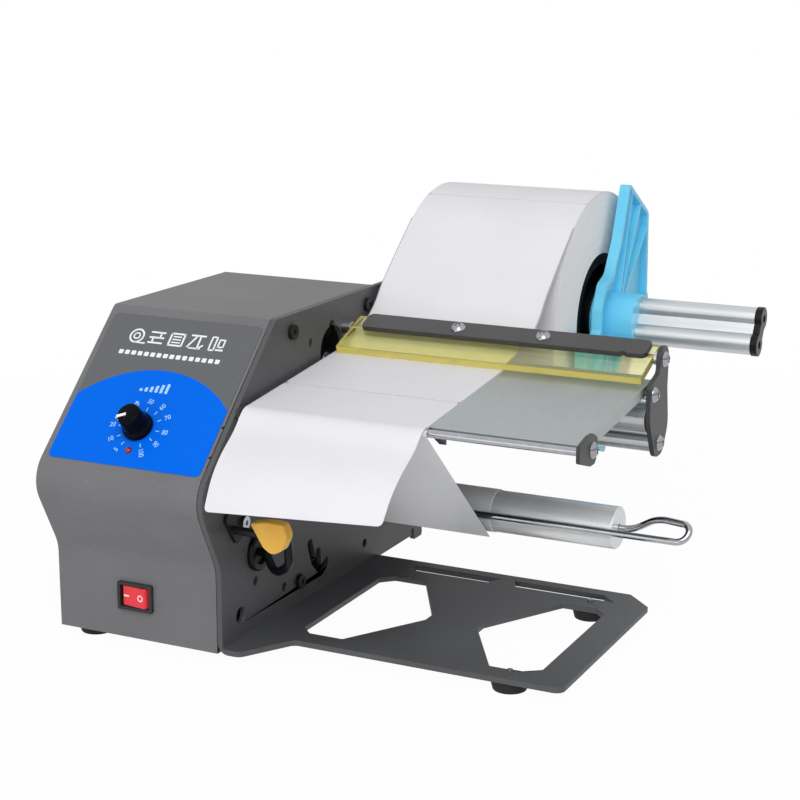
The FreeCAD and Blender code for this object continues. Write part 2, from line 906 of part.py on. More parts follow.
def control_sticker():
    outline = rounded_rectangle(-sticker_left, -sticker_right, -sticker_bottom, -sticker_top,
                                sticker_corner_radius)
    sticker = plate_z(outline, 0, sticker_thickness)
    sticker = sticker.cut(rod_z(knob_x, -knob_down, -overrun, overrun, pot_bush_radius))
    return on_face(sticker.cut(rod_z(knob_x, -lamp_down, -overrun, overrun, lamp_radius)))


def at_knob(shape):
    return on_face(moved(shape, knob_x, -knob_down, 0))


def speed_knob():
    """Smooth tapered knob that flares into its skirt, and the shaft that it turns."""
    low = sticker_thickness + knob_gap
    brow = low + knob_skirt_height
    skirt = rod_z(0, 0, low, brow, knob_radius)
    body = Part.makeCone(knob_body_radius, knob_top_radius, knob_height - brow, vector(0, 0, brow),
                         vector(0, 0, 1))
    top_edges = [e for e in body.Edges if abs(e.BoundBox.ZMin - knob_height) < facet and e.Closed]
    body = body.makeFillet(knob_edge_radius, top_edges)
    knob = skirt.fuse(body).removeSplitter()
    brow_edges = [e for e in knob.Edges if abs(e.BoundBox.ZMin - brow) < facet and e.Closed]
    knob = knob.makeFillet(knob_flare, brow_edges)
    cuts = [rod_z(0, 0, 0, low + pot_nut_height + knob_gap, pot_nut_radius + knob_gap),
            rod_z(0, 0, 0, pot_shaft_depth, pot_shaft_radius), pointer_bar()]
    shaft = rod_z(0, 0, -cover_sheet - pot_body_depth / 2, pot_shaft_depth, pot_shaft_radius)
    return at_knob(group([knob.cut(group(cuts)), shaft]))


def pointer_bar():
    bar = box(knob_top_radius - pointer_length - knob_edge_radius, knob_top_radius - knob_edge_radius,
              -pointer_width / 2, pointer_width / 2, knob_height - pointer_depth, knob_height)
    return turned(bar, vector(0, 0, 1), pointer_angle)


def knob_pointer():
    return at_knob(pointer_bar())


def potentiometer():
    body = rod_z(0, 0, -cover_sheet - pot_body_depth, -cover_sheet, pot_body_radius)
    bush = rod_z(0, 0, -cover_sheet, sticker_thickness + pot_nut_height, pot_bush_radius)
    pins = box(-pot_body_radius / 2, pot_body_radius / 2, pot_body_radius / 2, pot_body_radius * 3 / 2,
               -cover_sheet - board_thickness - terminal_thickness, -cover_sheet - board_thickness)
    bore = rod_z(0, 0, -cover_sheet - pot_body_depth / 2, knob_height, pot_shaft_radius + running_clearance)
    return at_knob(body.fuse([bush, pins]).cut(bore).removeSplitter())


def pot_nut():
    nut = [polar(pot_nut_radius, 60 * i) + (0,) for i in range(6)]
    solid = plate_z(nut, sticker_thickness, pot_nut_height)
    return at_knob(solid.cut(rod_z(0, 0, 0, knob_height, pot_bush_radius)))


def power_lamp():
    """Domed lamp and the ring that holds it behind the face."""
    ball = Part.makeSphere(lamp_radius, vector(0, 0, 0))
    tip = moved(ball, 0, 0, lamp_proud - lamp_radius / 2)
    stem = rod_z(0, 0, -lamp_depth, lamp_proud - lamp_radius / 2, lamp_radius)
    ring = rod_z(0, 0, -cover_sheet - lamp_holder_depth, -cover_sheet, lamp_holder_radius)
    ring = ring.cut(rod_z(0, 0, -lamp_depth, 0, lamp_radius))
    lamp = group([stem.fuse(tip).removeSplitter(), ring])
    return on_face(moved(lamp, knob_x, -lamp_down, 0))


# Rocker switch

def at_switch(shape):
    return moved(shape, switch_x, 0, switch_height)


def rocker_radius():
    return bezel_width / 2 - switch_wall - rocker_gap


def rocker_half_height():
    return bezel_height / 2 - switch_wall - rocker_gap


def switch_body():
    """Bezel and body of the switch, with its three terminal blades."""
    bezel = plate_y(rounded_rectangle(-bezel_width / 2, bezel_width / 2, -bezel_height / 2, bezel_height / 2,
                                      bezel_corner_radius), -bezel_thickness, bezel_thickness)
    body = box(-switch_body_width / 2, switch_body_width / 2, 0, switch_body_depth,
               -switch_body_height / 2, switch_body_height / 2)
    room_side = bezel_width / 2 - switch_wall
    room_top = bezel_height / 2 - switch_wall
    room = box(-room_side, room_side, -bezel_thickness - overrun, switch_body_depth - switch_wall,
               -room_top, room_top)
    pin_hole = rod_z(0, rocker_pivot_depth, -bezel_height, bezel_height,
                     rocker_pin_radius + running_clearance)
    pin_hole = pin_hole.common(box(-bezel_width, bezel_width, 0, switch_body_depth,
                                   -rocker_half_height() - rocker_gap - switch_wall / 2,
                                   rocker_half_height() + rocker_gap + switch_wall / 2))
    shell = bezel.fuse(body).cut(group([room, pin_hole])).removeSplitter()
    blades = []
    for side in (-1, 0, 1):
        x = side * terminal_pitch
        blades.append(box(x - terminal_thickness / 2, x + terminal_thickness / 2, switch_body_depth,
                          switch_body_depth + terminal_length, -terminal_width / 2, terminal_width / 2))
    return at_switch(group([shell] + blades))


def switch_rocker():
    """Rocker that tips about an upright pin; its ends are arcs about that pin."""
    radius = rocker_radius()
    half = rocker_half_height()
    block = rod_z(0, 0, -half, half, radius)
    block = block.common(box(-radius, radius, -rocker_proud - rocker_pivot_depth, rocker_depth / 2,
                             -half, half))
    pin = rod_z(0, 0, -half - switch_wall / 2, half + switch_wall / 2, rocker_pin_radius)
    rocker = turned(block.fuse(pin).removeSplitter(), vector(0, 0, 1), -rocker_angle)
    return at_switch(moved(rocker, 0, rocker_pivot_depth, 0))


# Platform

def on_platform(shape):
    return moved(turned(shape, vector(1, 0, 0), platform_slope), 0, platform_front, platform_front_height)


def peel_platform():
    length = (platform_back - platform_front) / platform_cosine
    sheet = box(platform_left, platform_right, 0, length, -platform_sheet, 0)
    flange = box(platform_right - platform_sheet, platform_right, 0, length, -platform_flange, 0)
    plate = on_platform(sheet.fuse(flange).removeSplitter())
    for depth, height in [(front_tie_depth, front_tie_height), (rear_tie_depth, rear_tie_height)]:
        plate = plate.cut(rod_x(platform_right - platform_flange, platform_right + overrun, depth, height,
                                tie_rod_radius))
    return plate


def peel_rod():
    return rod_x(0, platform_right + front_bracket_thickness / 2, rod_depth, rod_height, rod_radius)


def front_bracket(x_low):
    front = rod_depth - 3 * rod_radius
    back = front_tie_depth + 2 * tie_rod_radius
    low = front_tie_height - 2.4 * tie_rod_radius
    top = platform_top(front_tie_depth) + tie_rod_radius
    edge = tie_rod_radius
    outline = [(front, rod_height + rod_radius * 2, edge / 2),
               (front, rod_height - rod_radius * 2, edge / 2),
               (front_tie_depth - edge, low, edge), (front_tie_depth + edge, low, edge),
               (back, front_tie_height - edge, edge), (back, top - edge, edge),
               (front_tie_depth, top, edge), (front_tie_depth - 2 * edge, top, edge)]
    plate = plate_x(outline, x_low, front_bracket_thickness)
    if x_low < platform_left:
        plate = plate.common(on_platform(box(-overrun, platform_left, -platform_front, platform_back,
                                             -platform_back, 0)))
    x0, x1 = x_low - overrun, x_low + front_bracket_thickness + overrun
    return plate.cut([rod_x(x0, x1, front_tie_depth, front_tie_height, dome_shank_radius), peel_rod()])


def front_brackets():
    return group([front_bracket(0), front_bracket(platform_right)])


def rod_support():
    """Small hook under the platform that steadies the peel rod."""
    top = platform_underside(support_front + rod_radius)
    outline = [(rod_depth + rod_radius, rod_height - rod_radius, 0), (support_back, support_bottom, 0),
               (support_back, platform_underside(support_back), 0), (platform_front, top, 0)]
    block = plate_x(outline, support_x, support_width)
    deep = support_width + 2 * overrun
    block = block.cut(rod_x(support_x - overrun, support_x + deep, rod_depth, rod_height, rod_radius))
    block = block.cut(rod_x(support_x - overrun, support_x + deep, front_tie_depth, front_tie_height,
                            tie_rod_radius))
    keep = on_platform(box(support_x - overrun, support_x + deep, -platform_flange * 2, platform_back,
                           -platform_back, -platform_sheet))
    return block.common(keep)


def tie_rod(depth, height, x0, x1, radius, ends=2):
    """Bar with a screw's bore in its left end, and in its right end too where ends is 2."""
    bar = rod_x(x0, x1, depth, height, radius)
    for end, way in ((x0, 1), (x1, -1))[:ends]:
        inner = end + way * dome_shank_length
        bar = bar.cut(rod_x(min(end - way * overrun, inner), max(end - way * overrun, inner), depth, height,
                            dome_shank_radius))
    return bar


def tie_rods():
    """Two rods under the platform, and the thick one at the foot of the link bracket."""
    front = tie_rod(front_tie_depth, front_tie_height, front_bracket_thickness, platform_right,
                    tie_rod_radius)
    rear = tie_rod(rear_tie_depth, rear_tie_height, 0, link_inner, tie_rod_radius)
    lower = tie_rod(lower_rod_depth, lower_rod_height, 0, link_inner, lower_rod_radius)
    return group([front, rear, lower])


def link_bracket():
    """Pear-shaped bracket that joins the right ends of the rods."""
    top_radius = 2 * spacer_radius
    wide = 1.8 * roller_radius
    low_radius = lower_rod_radius * 1.8
    front = roller_depth - wide * 0.7
    low = lower_rod_height - low_radius * 0.75
    depth, height = presser_pivot
    outline = [(depth + top_radius, height + top_radius, top_radius - facet),
               (depth - top_radius, height + top_radius, top_radius - facet),
               (depth - top_radius, height - top_radius * 0.8, top_radius / 2),
               (front, rear_tie_height + top_radius * 0.8, top_radius / 2), (front, roller_height, wide),
               (lower_rod_depth - low_radius * 0.7, low, low_radius * 0.8),
               (lower_rod_depth + low_radius * 0.6, low, low_radius * 0.8),
               (roller_depth + wide * 1.4, roller_height - wide * 0.5, wide),
               (depth + top_radius * 0.85, rear_tie_height, wide)]
    plate = plate_x(outline, link_inner, link_thickness)
    cuts = [rod_x(link_inner - overrun, link_outer + overrun, depth, height, dome_shank_radius)
            for depth, height in [(rear_tie_depth, rear_tie_height), (lower_rod_depth, lower_rod_height),
                                  presser_pivot]]
    cuts.append(rod_x(link_inner - overrun, link_inner + link_thickness / 2, roller_depth, roller_height,
                      roller_axle_radius))
    return plate.cut(group(cuts))


def guide_roller():
    ends = roller_end_gap
    return tube_x(ends, link_inner - ends, roller_depth, roller_height, roller_radius,
                  roller_axle_radius + running_clearance)


def roller_axle():
    return tie_rod(roller_depth, roller_height, 0, link_inner + link_thickness / 2, roller_axle_radius, 1)


def rod_screws():
    """Dome screws of the rods: three in the brackets on the right, four with heads in the housing."""
    screw = dome_screw(dome_radius, dome_height, dome_shank_radius, dome_shank_length)
    screws = [moved(screw, link_outer, rear_tie_depth, rear_tie_height),
              moved(screw, link_outer, lower_rod_depth, lower_rod_height),
              moved(screw, platform_right + front_bracket_thickness, front_tie_depth, front_tie_height)]
    mirrored = turned(screw, vector(0, 0, 1), 180)
    for depth, height in tie_places():
        screws.append(moved(mirrored, -plate_thickness, depth, height))
    return group(screws)


# Presser

def at_presser(shape):
    return moved(turned(shape, vector(1, 0, 0), presser_slope), 0, presser_front_depth, presser_front_height)


def presser_plate():
    plate = box(presser_left, presser_right, 0, presser_length, -presser_thickness, 0)
    hole = presser_pin_radius + running_clearance
    along, above = presser_pivot_along, -presser_thickness / 2
    cuts = [rod_x(presser_left - overrun, presser_left + presser_pin_depth, along, above, hole),
            rod_x(presser_right - presser_pin_depth, presser_right + overrun, along, above, hole)]
    for x in (bar_screw_first, bar_screw_second):
        cuts.append(rod_z(x, bar_screw_along, -presser_thickness, overrun, dome_shank_radius))
    return at_presser(plate.cut(group(cuts)))


def presser_bar():
    low, high = bar_front_along, bar_front_along + bar_width
    bar = plate_z(rounded_rectangle(bar_left, bar_right, low, high, bar_corner_radius), 0, bar_thickness)
    cuts = [rod_z(x, bar_screw_along, -overrun, bar_thickness + overrun, dome_shank_radius)
            for x in (bar_screw_first, bar_screw_second)]
    cuts.append(rod_z(bar_notch_x, low, -overrun, bar_thickness + overrun, bar_notch))
    return at_presser(bar.cut(group(cuts)))


def presser_screws():
    screws = []
    for x in (bar_screw_first, bar_screw_second):
        screw = dome_screw(dome_radius, dome_height, dome_shank_radius,
                           bar_thickness + presser_thickness / 2)
        screw = turned(screw, vector(0, 1, 0), -90)
        screws.append(at_presser(moved(screw, x, bar_screw_along, bar_thickness)))
    return group(screws)


def presser_pivots():
    """Right: dome screw through the link bracket. Left: pin with a head inside the housing."""
    reach = link_outer - presser_right + presser_pin_depth - running_clearance
    right = moved(dome_screw(dome_radius, dome_height, presser_pin_radius, reach), link_outer,
                  *presser_pivot)
    reach = plate_thickness + presser_left + presser_pin_depth - running_clearance
    left = turned(dome_screw(dome_radius, dome_height, presser_pin_radius, reach), vector(0, 0, 1), 180)
    return group([right, moved(left, -plate_thickness, *presser_pivot)])


def presser_spacers():
    inner = presser_pin_radius
    return group([tube_x(0, presser_left - sheet_gap, presser_pivot[0], presser_pivot[1], spacer_radius,
                         inner),
                  tube_x(presser_right + sheet_gap, link_inner, presser_pivot[0], presser_pivot[1],
                         spacer_radius, inner)])


# Winder and its drive

def gear(teeth, bore, phase):
    """Spur gear about the X axis from 0 to its width, with a web and hub; phase turns its teeth."""
    pitch_radius = gear_module * teeth / 2
    pitch_angle = 360 / teeth
    corners = []
    play = math.degrees(gear_backlash / pitch_radius) / 2
    for i in range(teeth):
        middle = phase + i * pitch_angle
        top = pitch_angle * tooth_top_share / 2
        root = pitch_angle * tooth_root_share / 2 - play
        low = pitch_radius - tooth_depth_share * gear_module
        high = pitch_radius + gear_module * tooth_depth_share * tooth_depth_share / 1.5
        for radius, offset in ((low, -root), (high, -top), (high, top), (low, root)):
            corners.append(polar(radius, middle + offset) + (0,))
    solid = plate_x(corners, 0, gear_width)
    rim = pitch_radius - tooth_depth_share * gear_module - gear_rim
    if rim > gear_hub_radius + gear_rim:
        side = (gear_width - gear_web) / 2
        for low in (-overrun, gear_width - side):
            solid = solid.cut(tube_x(low, low + side + overrun, 0, 0, rim, gear_hub_radius))
    return solid.cut(rod_x(-overrun, gear_width + overrun, 0, 0, bore))


def centre_distance():
    return gear_module * (winder_teeth + drive_teeth) / 2


def winder_shaft():
    start = -journal_length
    body = rod_x(winder_start, winder_right - winder_edge, winder_depth, winder_height, winder_radius)
    tip = Part.makeCone(winder_radius, winder_radius - winder_edge, winder_edge,
                        vector(winder_right - winder_edge, winder_depth, winder_height), vector(1, 0, 0))
    journal = rod_x(start, winder_start, winder_depth, winder_height, journal_radius)
    hole = rod_x(winder_right - clip_pin_length - overrun, winder_right + overrun, winder_depth,
                 winder_height, clip_hole_radius)
    return body.fuse([tip, journal]).cut(hole).removeSplitter()


def winder_bearing():
    body = tube_x(-plate_thickness - bearing_length, -plate_thickness, winder_depth, winder_height,
                  bearing_radius, journal_radius + running_clearance)
    nose = tube_x(-plate_thickness, 0, winder_depth, winder_height, journal_hole_radius - bearing_fit,
                  journal_radius + running_clearance)
    return body.fuse(nose).removeSplitter()


def winder_gear():
    return moved(gear(winder_teeth, journal_radius, 0), -gear_start - gear_width, winder_depth,
                 winder_height)


def liner_wrap():
    return tube_x(label_left, label_right, winder_depth, winder_height, winder_radius + wrap_thickness,
                  winder_radius)


def drive_depth():
    return winder_depth - centre_distance()


def drive_gear():
    return moved(gear(drive_teeth, motor_shaft_radius, 180 / drive_teeth), -gear_start - gear_width,
                 drive_depth(), winder_height)


def motor_front():
    return -motor_plate_start - motor_plate_thickness


def motor_shaft():
    return rod_x(motor_front() - motor_cap_length, -gear_start + overrun, drive_depth(), winder_height,
                 motor_shaft_radius)


def gear_motor():
    middle = drive_depth()
    front = motor_front()
    cap_end = front - motor_length - motor_cap_length
    body = rod_x(front - motor_length, front, middle, winder_height, motor_radius)
    cap = rod_x(cap_end, front - motor_length, middle, winder_height, motor_cap_radius)
    bore = rod_x(front - motor_cap_length, front + overrun, middle, winder_height,
                 motor_shaft_radius + running_clearance)
    return body.fuse(cap).removeSplitter().cut(bore)


def post_places():
    depth = drive_depth()
    front, back = depth - post_front, depth + post_back
    return [(front, winder_height - post_front_rise), (front, winder_height + post_front_rise),
            (back, winder_height - post_back_rise), (back, winder_height + post_back_rise)]


def motor_plate():
    margin = motor_plate_margin
    depth = drive_depth()
    corners = [(depth - post_front - margin, winder_height - post_back_rise - margin, margin),
               (depth - post_front - margin, winder_height + post_back_rise + margin, margin),
               (depth + post_back + margin, winder_height + post_back_rise + margin, margin),
               (depth + post_back + margin, winder_height - post_back_rise - margin, margin)]
    plate = plate_x(corners, motor_front(), motor_plate_thickness)
    hole = motor_shaft_radius + running_clearance
    plate = plate.cut(rod_x(motor_front() - overrun, 0, depth, winder_height, hole))
    cuts = [rod_x(motor_front() - overrun, 0, y, z, screw_shank_radius) for y, z in post_places()]
    return plate.cut(group(cuts))


def motor_posts():
    posts = []
    for depth, height in post_places():
        post = rod_x(-motor_plate_start, -plate_thickness, depth, height, post_radius)
        posts.append(post.cut(rod_x(-motor_plate_start - overrun, screw_length - motor_plate_start,
                                    depth, height, screw_shank_radius)))
    return group(posts)


def winder_clip():
    """Hairpin of round wire: one leg on the wound liner, one in the shaft's end, joined by a finger loop."""
    leg_depth, leg_rise = polar(clip_reach, clip_angle)
    loop = [(winder_right + x, depth, rise) for x, depth, rise in clip_loop_points]
    points = ([(clip_leg_start, leg_depth, leg_rise), (winder_right + clip_loop_end, leg_depth, leg_rise)]
              + loop + [(winder_right + clip_neck, 0, 0), (winder_right - clip_pin_length, 0, 0)])
    return moved(bent_tube(points, wire_radius, clip_bends), 0, winder_depth, winder_height)


# Roll and its shaft

def lobed_bar(x0, x1, grown):
    """Bar with the shaft's two-lobed section about the X axis, grown by a distance."""
    radius = lobe_radius + grown
    waist = waist_half_width + grown
    lobes = [rod_x(x0, x1, side * lobe_spacing / 2, 0, radius) for side in (-1, 1)]
    web = box(x0, x1, -lobe_spacing / 2, lobe_spacing / 2, -waist, waist)
    return web.fuse(lobes).removeSplitter()


def roll_shaft():
    bar = lobed_bar(shaft_start, shaft_end, 0)
    bores = [rod_x(shaft_start - overrun, shaft_end + overrun, side * lobe_spacing / 2, 0,
                   lobe_radius - shaft_wall) for side in (-1, 1)]
    return on_shaft(bar.cut(group(bores)))


def shaft_end_cap():
    cap = lobed_bar(shaft_end, shaft_end + cap_length, cap_lip)
    plugs = [rod_x(shaft_end - cap_plug_length, shaft_end + facet, side * lobe_spacing / 2, 0,
                   lobe_radius - shaft_wall) for side in (-1, 1)]
    cap = cap.fuse(plugs).removeSplitter()
    end = shaft_end + cap_length
    dots = [rod_x(end - cap_screw_depth, end + overrun, side * lobe_spacing / 2, 0, cap_screw_radius)
            for side in (-1, 1)]
    return on_shaft(cap.cut(group(dots)))


def mount_screw_places():
    y, z = polar(mount_screw_spread, shaft_tilt + 90)
    return [(roll_depth + y, roll_height + z), (roll_depth - y, roll_height - z)]


def shaft_mount_block():
    end = lobe_spacing / 2 + lobe_radius + mount_margin
    side = lobe_radius + mount_margin
    outline = rounded_rectangle(-end, end, -side, side, mount_corner_radius)
    low = -plate_thickness - mount_thickness
    block = plate_x(outline, low, mount_thickness).cut(lobed_bar(low - overrun, overrun, 0))
    for way in (-1, 1):
        block = block.cut(rod_x(low - overrun, overrun, 0, way * mount_screw_spread, screw_shank_radius))
    return on_shaft(block)


def inner_screws():
    """Screws of the shaft's block and of the motor plate, all with their heads toward the left."""
    low = -plate_thickness - mount_thickness
    screws = [flat_screw(low, y, z, -1, inner_head_radius, screw_head_height,
                         mount_thickness + plate_thickness)
              for y, z in mount_screw_places()]
    screws += [flat_screw(motor_front(), y, z, -1, inner_head_radius, screw_head_height, screw_length)
               for y, z in post_places()]
    return group(screws)


def inner_guide_disc():
    """Thin disc beside the side plate with a boss that carries the roll's left end."""
    end = label_left + disc_boss_length
    disc = rod_x(disc_start, disc_start + disc_thickness, 0, 0, disc_radius)
    disc = disc.fuse(rod_x(disc_start, end, 0, 0, boss_radius)).removeSplitter()
    return on_shaft(disc.cut(lobed_bar(0, end + overrun, 0)))


def flange_outline():
    half = [(a * flange_reach, b * flange_reach, r * flange_reach) for a, b, r in flange_outline_share]
    outline = half + [(-a, -b, r) for a, b, r in half]
    return outline[::-1]


def outer_flange():
    """Guide flange with two arms, a rim and ribs on its outer face, and a boss that carries the roll."""
    outline = flange_outline()
    outer = flange_inner + flange_thickness
    face = flange_inner + flange_web
    plate = plate_x(outline, flange_inner, flange_thickness)
    pocket = plate_x(inset(outline, flange_rim), face, flange_thickness)
    ribs = []
    for side in (0, 180):
        for angle in flange_rib_angles:
            rib = box(face, outer, 0, flange_reach * 2, -flange_rib / 2, flange_rib / 2)
            ribs.append(turned(rib, vector(1, 0, 0), angle + side))
    plate = plate.cut(pocket.cut(group(ribs)))
    hub = rod_x(flange_inner, flange_inner + flange_hub_length, 0, 0, flange_hub_radius)
    boss = rod_x(flange_inner - flange_boss_length, flange_inner + flange_web, 0, 0, boss_radius)
    flange = moved(plate.fuse([hub, boss]).removeSplitter(), 0, roll_depth, roll_height)
    bore = lobed_bar(flange_inner - flange_boss_length - overrun, shaft_end, flange_slide_gap)
    return flange.cut(on_shaft(bore))


def roll_core():
    return tube_x(label_left, label_right, roll_depth, roll_height, core_radius, core_radius - core_wall)


def label_roll():
    return tube_x(label_left, label_right, roll_depth, roll_height, roll_radius, core_radius)


def core_plugs():
    """Two plugs in the core's ends, each a rim, a web and a ring that runs on its boss."""
    plugs = []
    outer = core_radius - core_wall
    bore = boss_radius + boss_clearance
    for x0, groove in ((label_left, label_left - overrun),
                       (label_right - plug_length, label_right - plug_length + plug_web)):
        plug = tube_x(x0, x0 + plug_length, roll_depth, roll_height, outer, bore)
        groove_length = plug_length - plug_web + overrun
        plugs.append(plug.cut(tube_x(groove, groove + groove_length, roll_depth, roll_height,
                                     outer - plug_rim, bore + plug_rim)))
    return group(plugs)


# Paper

def crossing(point_a, way_a, point_b, way_b):
    """Where two plane lines meet."""
    turn = way_a[0] * way_b[1] - way_a[1] * way_b[0]
    along = ((point_b[0] - point_a[0]) * way_b[1] - (point_b[1] - point_a[1]) * way_b[0]) / turn
    return point_a[0] + way_a[0] * along, point_a[1] + way_a[1] * along


def web_path():
    """Lower face of the label web from the platform's front edge to where it leaves the roll."""
    leave = polar(roll_radius + paper_gap, web_leave_angle)
    end = (roll_depth + leave[0], roll_height + leave[1])
    start = (platform_back, platform_top(platform_back))
    path = [(platform_front, platform_front_height, 0), (start[0], start[1], web_sag_radius)]
    for run, rise in web_sag_share:
        path.append((start[0] + run * (end[0] - start[0]), start[1] + rise * (end[1] - start[1]),
                     web_sag_radius))
    return path + [(end[0], end[1], 0)]


def label_web():
    return plate_x(strip_outline(web_path(), liner_thickness + label_thickness), label_left, label_width)


def peeled_label():
    lift = liner_thickness * platform_cosine
    depth, height = platform_front - lift * platform_tangent, platform_front_height + lift
    path = [(depth - label_hang * run, height - label_drop * drop, label_hang_radius)
            for run, drop in label_hang_share]
    path[0] = (path[0][0], path[0][1], 0)
    flat = label_hang * label_flat_share
    path += [(depth - flat, height - flat * platform_tangent, label_hang_radius), (depth, height, 0)]
    return plate_x(strip_outline(path, label_thickness), label_left, label_width)


def backing_liner():
    """Liner from the platform round the peel rod and down to where it lies over the turning clip."""
    rod_reach = rod_radius + paper_gap
    winder_reach = clip_reach + wire_radius + paper_gap
    way, length = toward((rod_depth, rod_height), (winder_depth, winder_height))
    turn = math.acos((rod_reach - winder_reach) / length)
    low_angle = math.degrees(math.atan2(way[1], way[0]) - turn)
    normal = polar(1, low_angle)
    low = (rod_depth + normal[0] * rod_reach, rod_height + normal[1] * rod_reach)
    end = (winder_depth + normal[0] * winder_reach, winder_height + normal[1] * winder_reach)
    nose_angle = (90 + platform_slope + low_angle + 360) / 2
    reach = polar(rod_reach, nose_angle)
    nose = (rod_depth + reach[0], rod_height + reach[1])
    across = polar(1, nose_angle + 90)
    front = (platform_front, platform_front_height)
    lower = crossing(nose, across, low, toward(low, end)[0])
    upper = crossing(nose, across, front, (1, platform_tangent))
    path = [(end[0], end[1], 0), (lower[0], lower[1], rod_reach), (upper[0], upper[1], rod_reach),
            (front[0], front[1], 0)]
    return plate_x(strip_outline(path, liner_thickness), label_left, label_width)


# Label sensor

def scaled_outline(table, across, height, length):
    return [(across + a * length, height + b * length, r * length) for a, b, r in table]


def sensor_hood():
    """Rounded shield over the label sensor, open at the back."""
    outline = scaled_outline(hood_outline_share, sensor_hood_x, sensor_hood_low, sensor_hood_width)
    hood = plate_y(outline, sensor_hood_front, sensor_hood_deep)
    front = [e for e in hood.Edges if e.BoundBox.YMax < sensor_hood_front + hood_rounding / 2]
    hood = hood.makeFillet(hood_rounding, front)
    inner = inset(outline, sensor_hood_wall)
    hood = hood.cut(plate_y(inner, sensor_hood_front + sensor_hood_wall, sensor_hood_deep + overrun))
    return hood.cut(sensor_arm())


def sensor_arm():
    return rod_x(0, sensor_arm_end, sensor_screw_depth - sensor_arm_forward,
                 sensor_screw_height - sensor_arm_drop, sensor_arm_radius)


def sensor_bracket():
    """Three-cornered bracket on the side plate with the arm that carries the hood."""
    outline = scaled_outline(bracket_outline_share, bracket_depth, bracket_height, bracket_length)
    plate = plate_x(outline, 0, sensor_bracket_thickness)
    plate = plate.fuse(sensor_arm()).removeSplitter()
    return plate.cut(rod_x(-overrun, sensor_bracket_thickness + overrun, sensor_screw_depth,
                           sensor_screw_height, screw_shank_radius))


def sensor_screw():
    return flat_screw(sensor_bracket_thickness, sensor_screw_depth, sensor_screw_height, 1, screw_head_radius,
                      screw_head_height, sensor_bracket_thickness + plate_thickness)


def sensor_cable():
    return bent_tube(cable_route, cable_radius, cable_radii)


def cable_grommet():
    ring = rod_x(0, grommet_thickness, grommet_depth, grommet_height, grommet_radius)
    edge = ring.Edges
    rounded = [e for e in edge if e.Closed and e.BoundBox.XMin > grommet_thickness / 2]
    ring = ring.makeFillet(grommet_thickness / 2, rounded)
    neck = rod_x(-plate_thickness - grommet_thickness / 2, overrun, grommet_depth, grommet_height,
                 grommet_hole_radius)
    dish = rod_x(grommet_thickness - grommet_dish, grommet_thickness + overrun, grommet_depth, grommet_height,
                 grommet_dish_radius)
    return ring.fuse(neck).removeSplitter().cut([dish, sensor_cable()])


# Boards and supply

def board_corners():
    inset_by = board_post_inset
    left, front = -board_left, housing_depth - board_back_gap - board_depth
    return [(left + inset_by, front + inset_by), (left + board_width - inset_by, front + inset_by),
            (left + inset_by, front + board_depth - inset_by),
            (left + board_width - inset_by, front + board_depth - inset_by)]


def board_bottom():
    return base_bottom + cover_sheet + board_rise


def control_board():
    """Board with its chip, heat sink and can, on four posts."""
    low = board_bottom()
    left, front = -board_left, housing_depth - board_back_gap - board_depth
    top = low + board_thickness
    board = box(left, left + board_width, front, front + board_depth, low, top)
    for x, y in board_corners():
        board = board.cut(rod_z(x, y, low - overrun, top + overrun, screw_shank_radius))
    third = board_width / 3
    chip = box(left + third, left + 2 * third, front + third, front + 2 * third, top, top + chip_height)
    sink = box(left + third / 2, left + board_width - third / 2, front + board_depth - third,
               front + board_depth - third / 2, top, top + heat_sink_height)
    can = rod_z(left + third, front + third / 2, top, top + 2 * chip_height, chip_height)
    board = board.fuse([chip, sink, can]).removeSplitter()
    posts = [rod_z(x, y, low - board_rise, low, board_post_radius) for x, y in board_corners()]
    return group([board] + posts)


def power_supply():
    low = base_bottom + cover_sheet
    left, front = -supply_left, supply_front
    case = box(left, left + supply_width, front, front + supply_depth, low, low + supply_height)
    slots = []
    for i in range(vent_count):
        x = left + supply_width / (vent_count + 1) * (i + 1)
        slots.append(box(x - overrun, x + overrun, front + supply_depth / 4, front + supply_depth * 3 / 4,
                         low + supply_height - cover_sheet, low + supply_height + overrun))
    return case.cut(group(slots))


def mains_inlet():
    """Appliance inlet in the back of the housing: flange, body with its socket, and three pins."""
    back = housing_depth
    half_wide, half_tall = inlet_width / 2, inlet_tall / 2
    body = box(-half_wide, half_wide, back - inlet_depth, back, -half_tall, half_tall)
    flange = plate_y(rounded_rectangle(-half_wide - inlet_flange, half_wide + inlet_flange,
                                       -half_tall - inlet_flange, half_tall + inlet_flange, inlet_flange),
                     back, inlet_flange_thickness)
    wall = inlet_wall
    socket = box(wall - half_wide, half_wide - wall, back - inlet_depth + wall,
                 back + inlet_flange_thickness + overrun, wall - half_tall, half_tall - wall)
    inlet = body.fuse(flange).removeSplitter().cut(socket)
    pins = []
    floor = back - inlet_depth + wall
    for i in (-1, 0, 1):
        x = i * inlet_pin_pitch
        rise = inlet_pin_thickness if i == 0 else -inlet_pin_thickness
        pins.append(box(x - inlet_pin_thickness / 2, x + inlet_pin_thickness / 2, floor,
                        floor + inlet_pin_length, rise - inlet_pin_width / 2, rise + inlet_pin_width / 2))
    return moved(inlet.fuse(pins).removeSplitter(), inlet_x, 0, inlet_height)


# All pieces by name

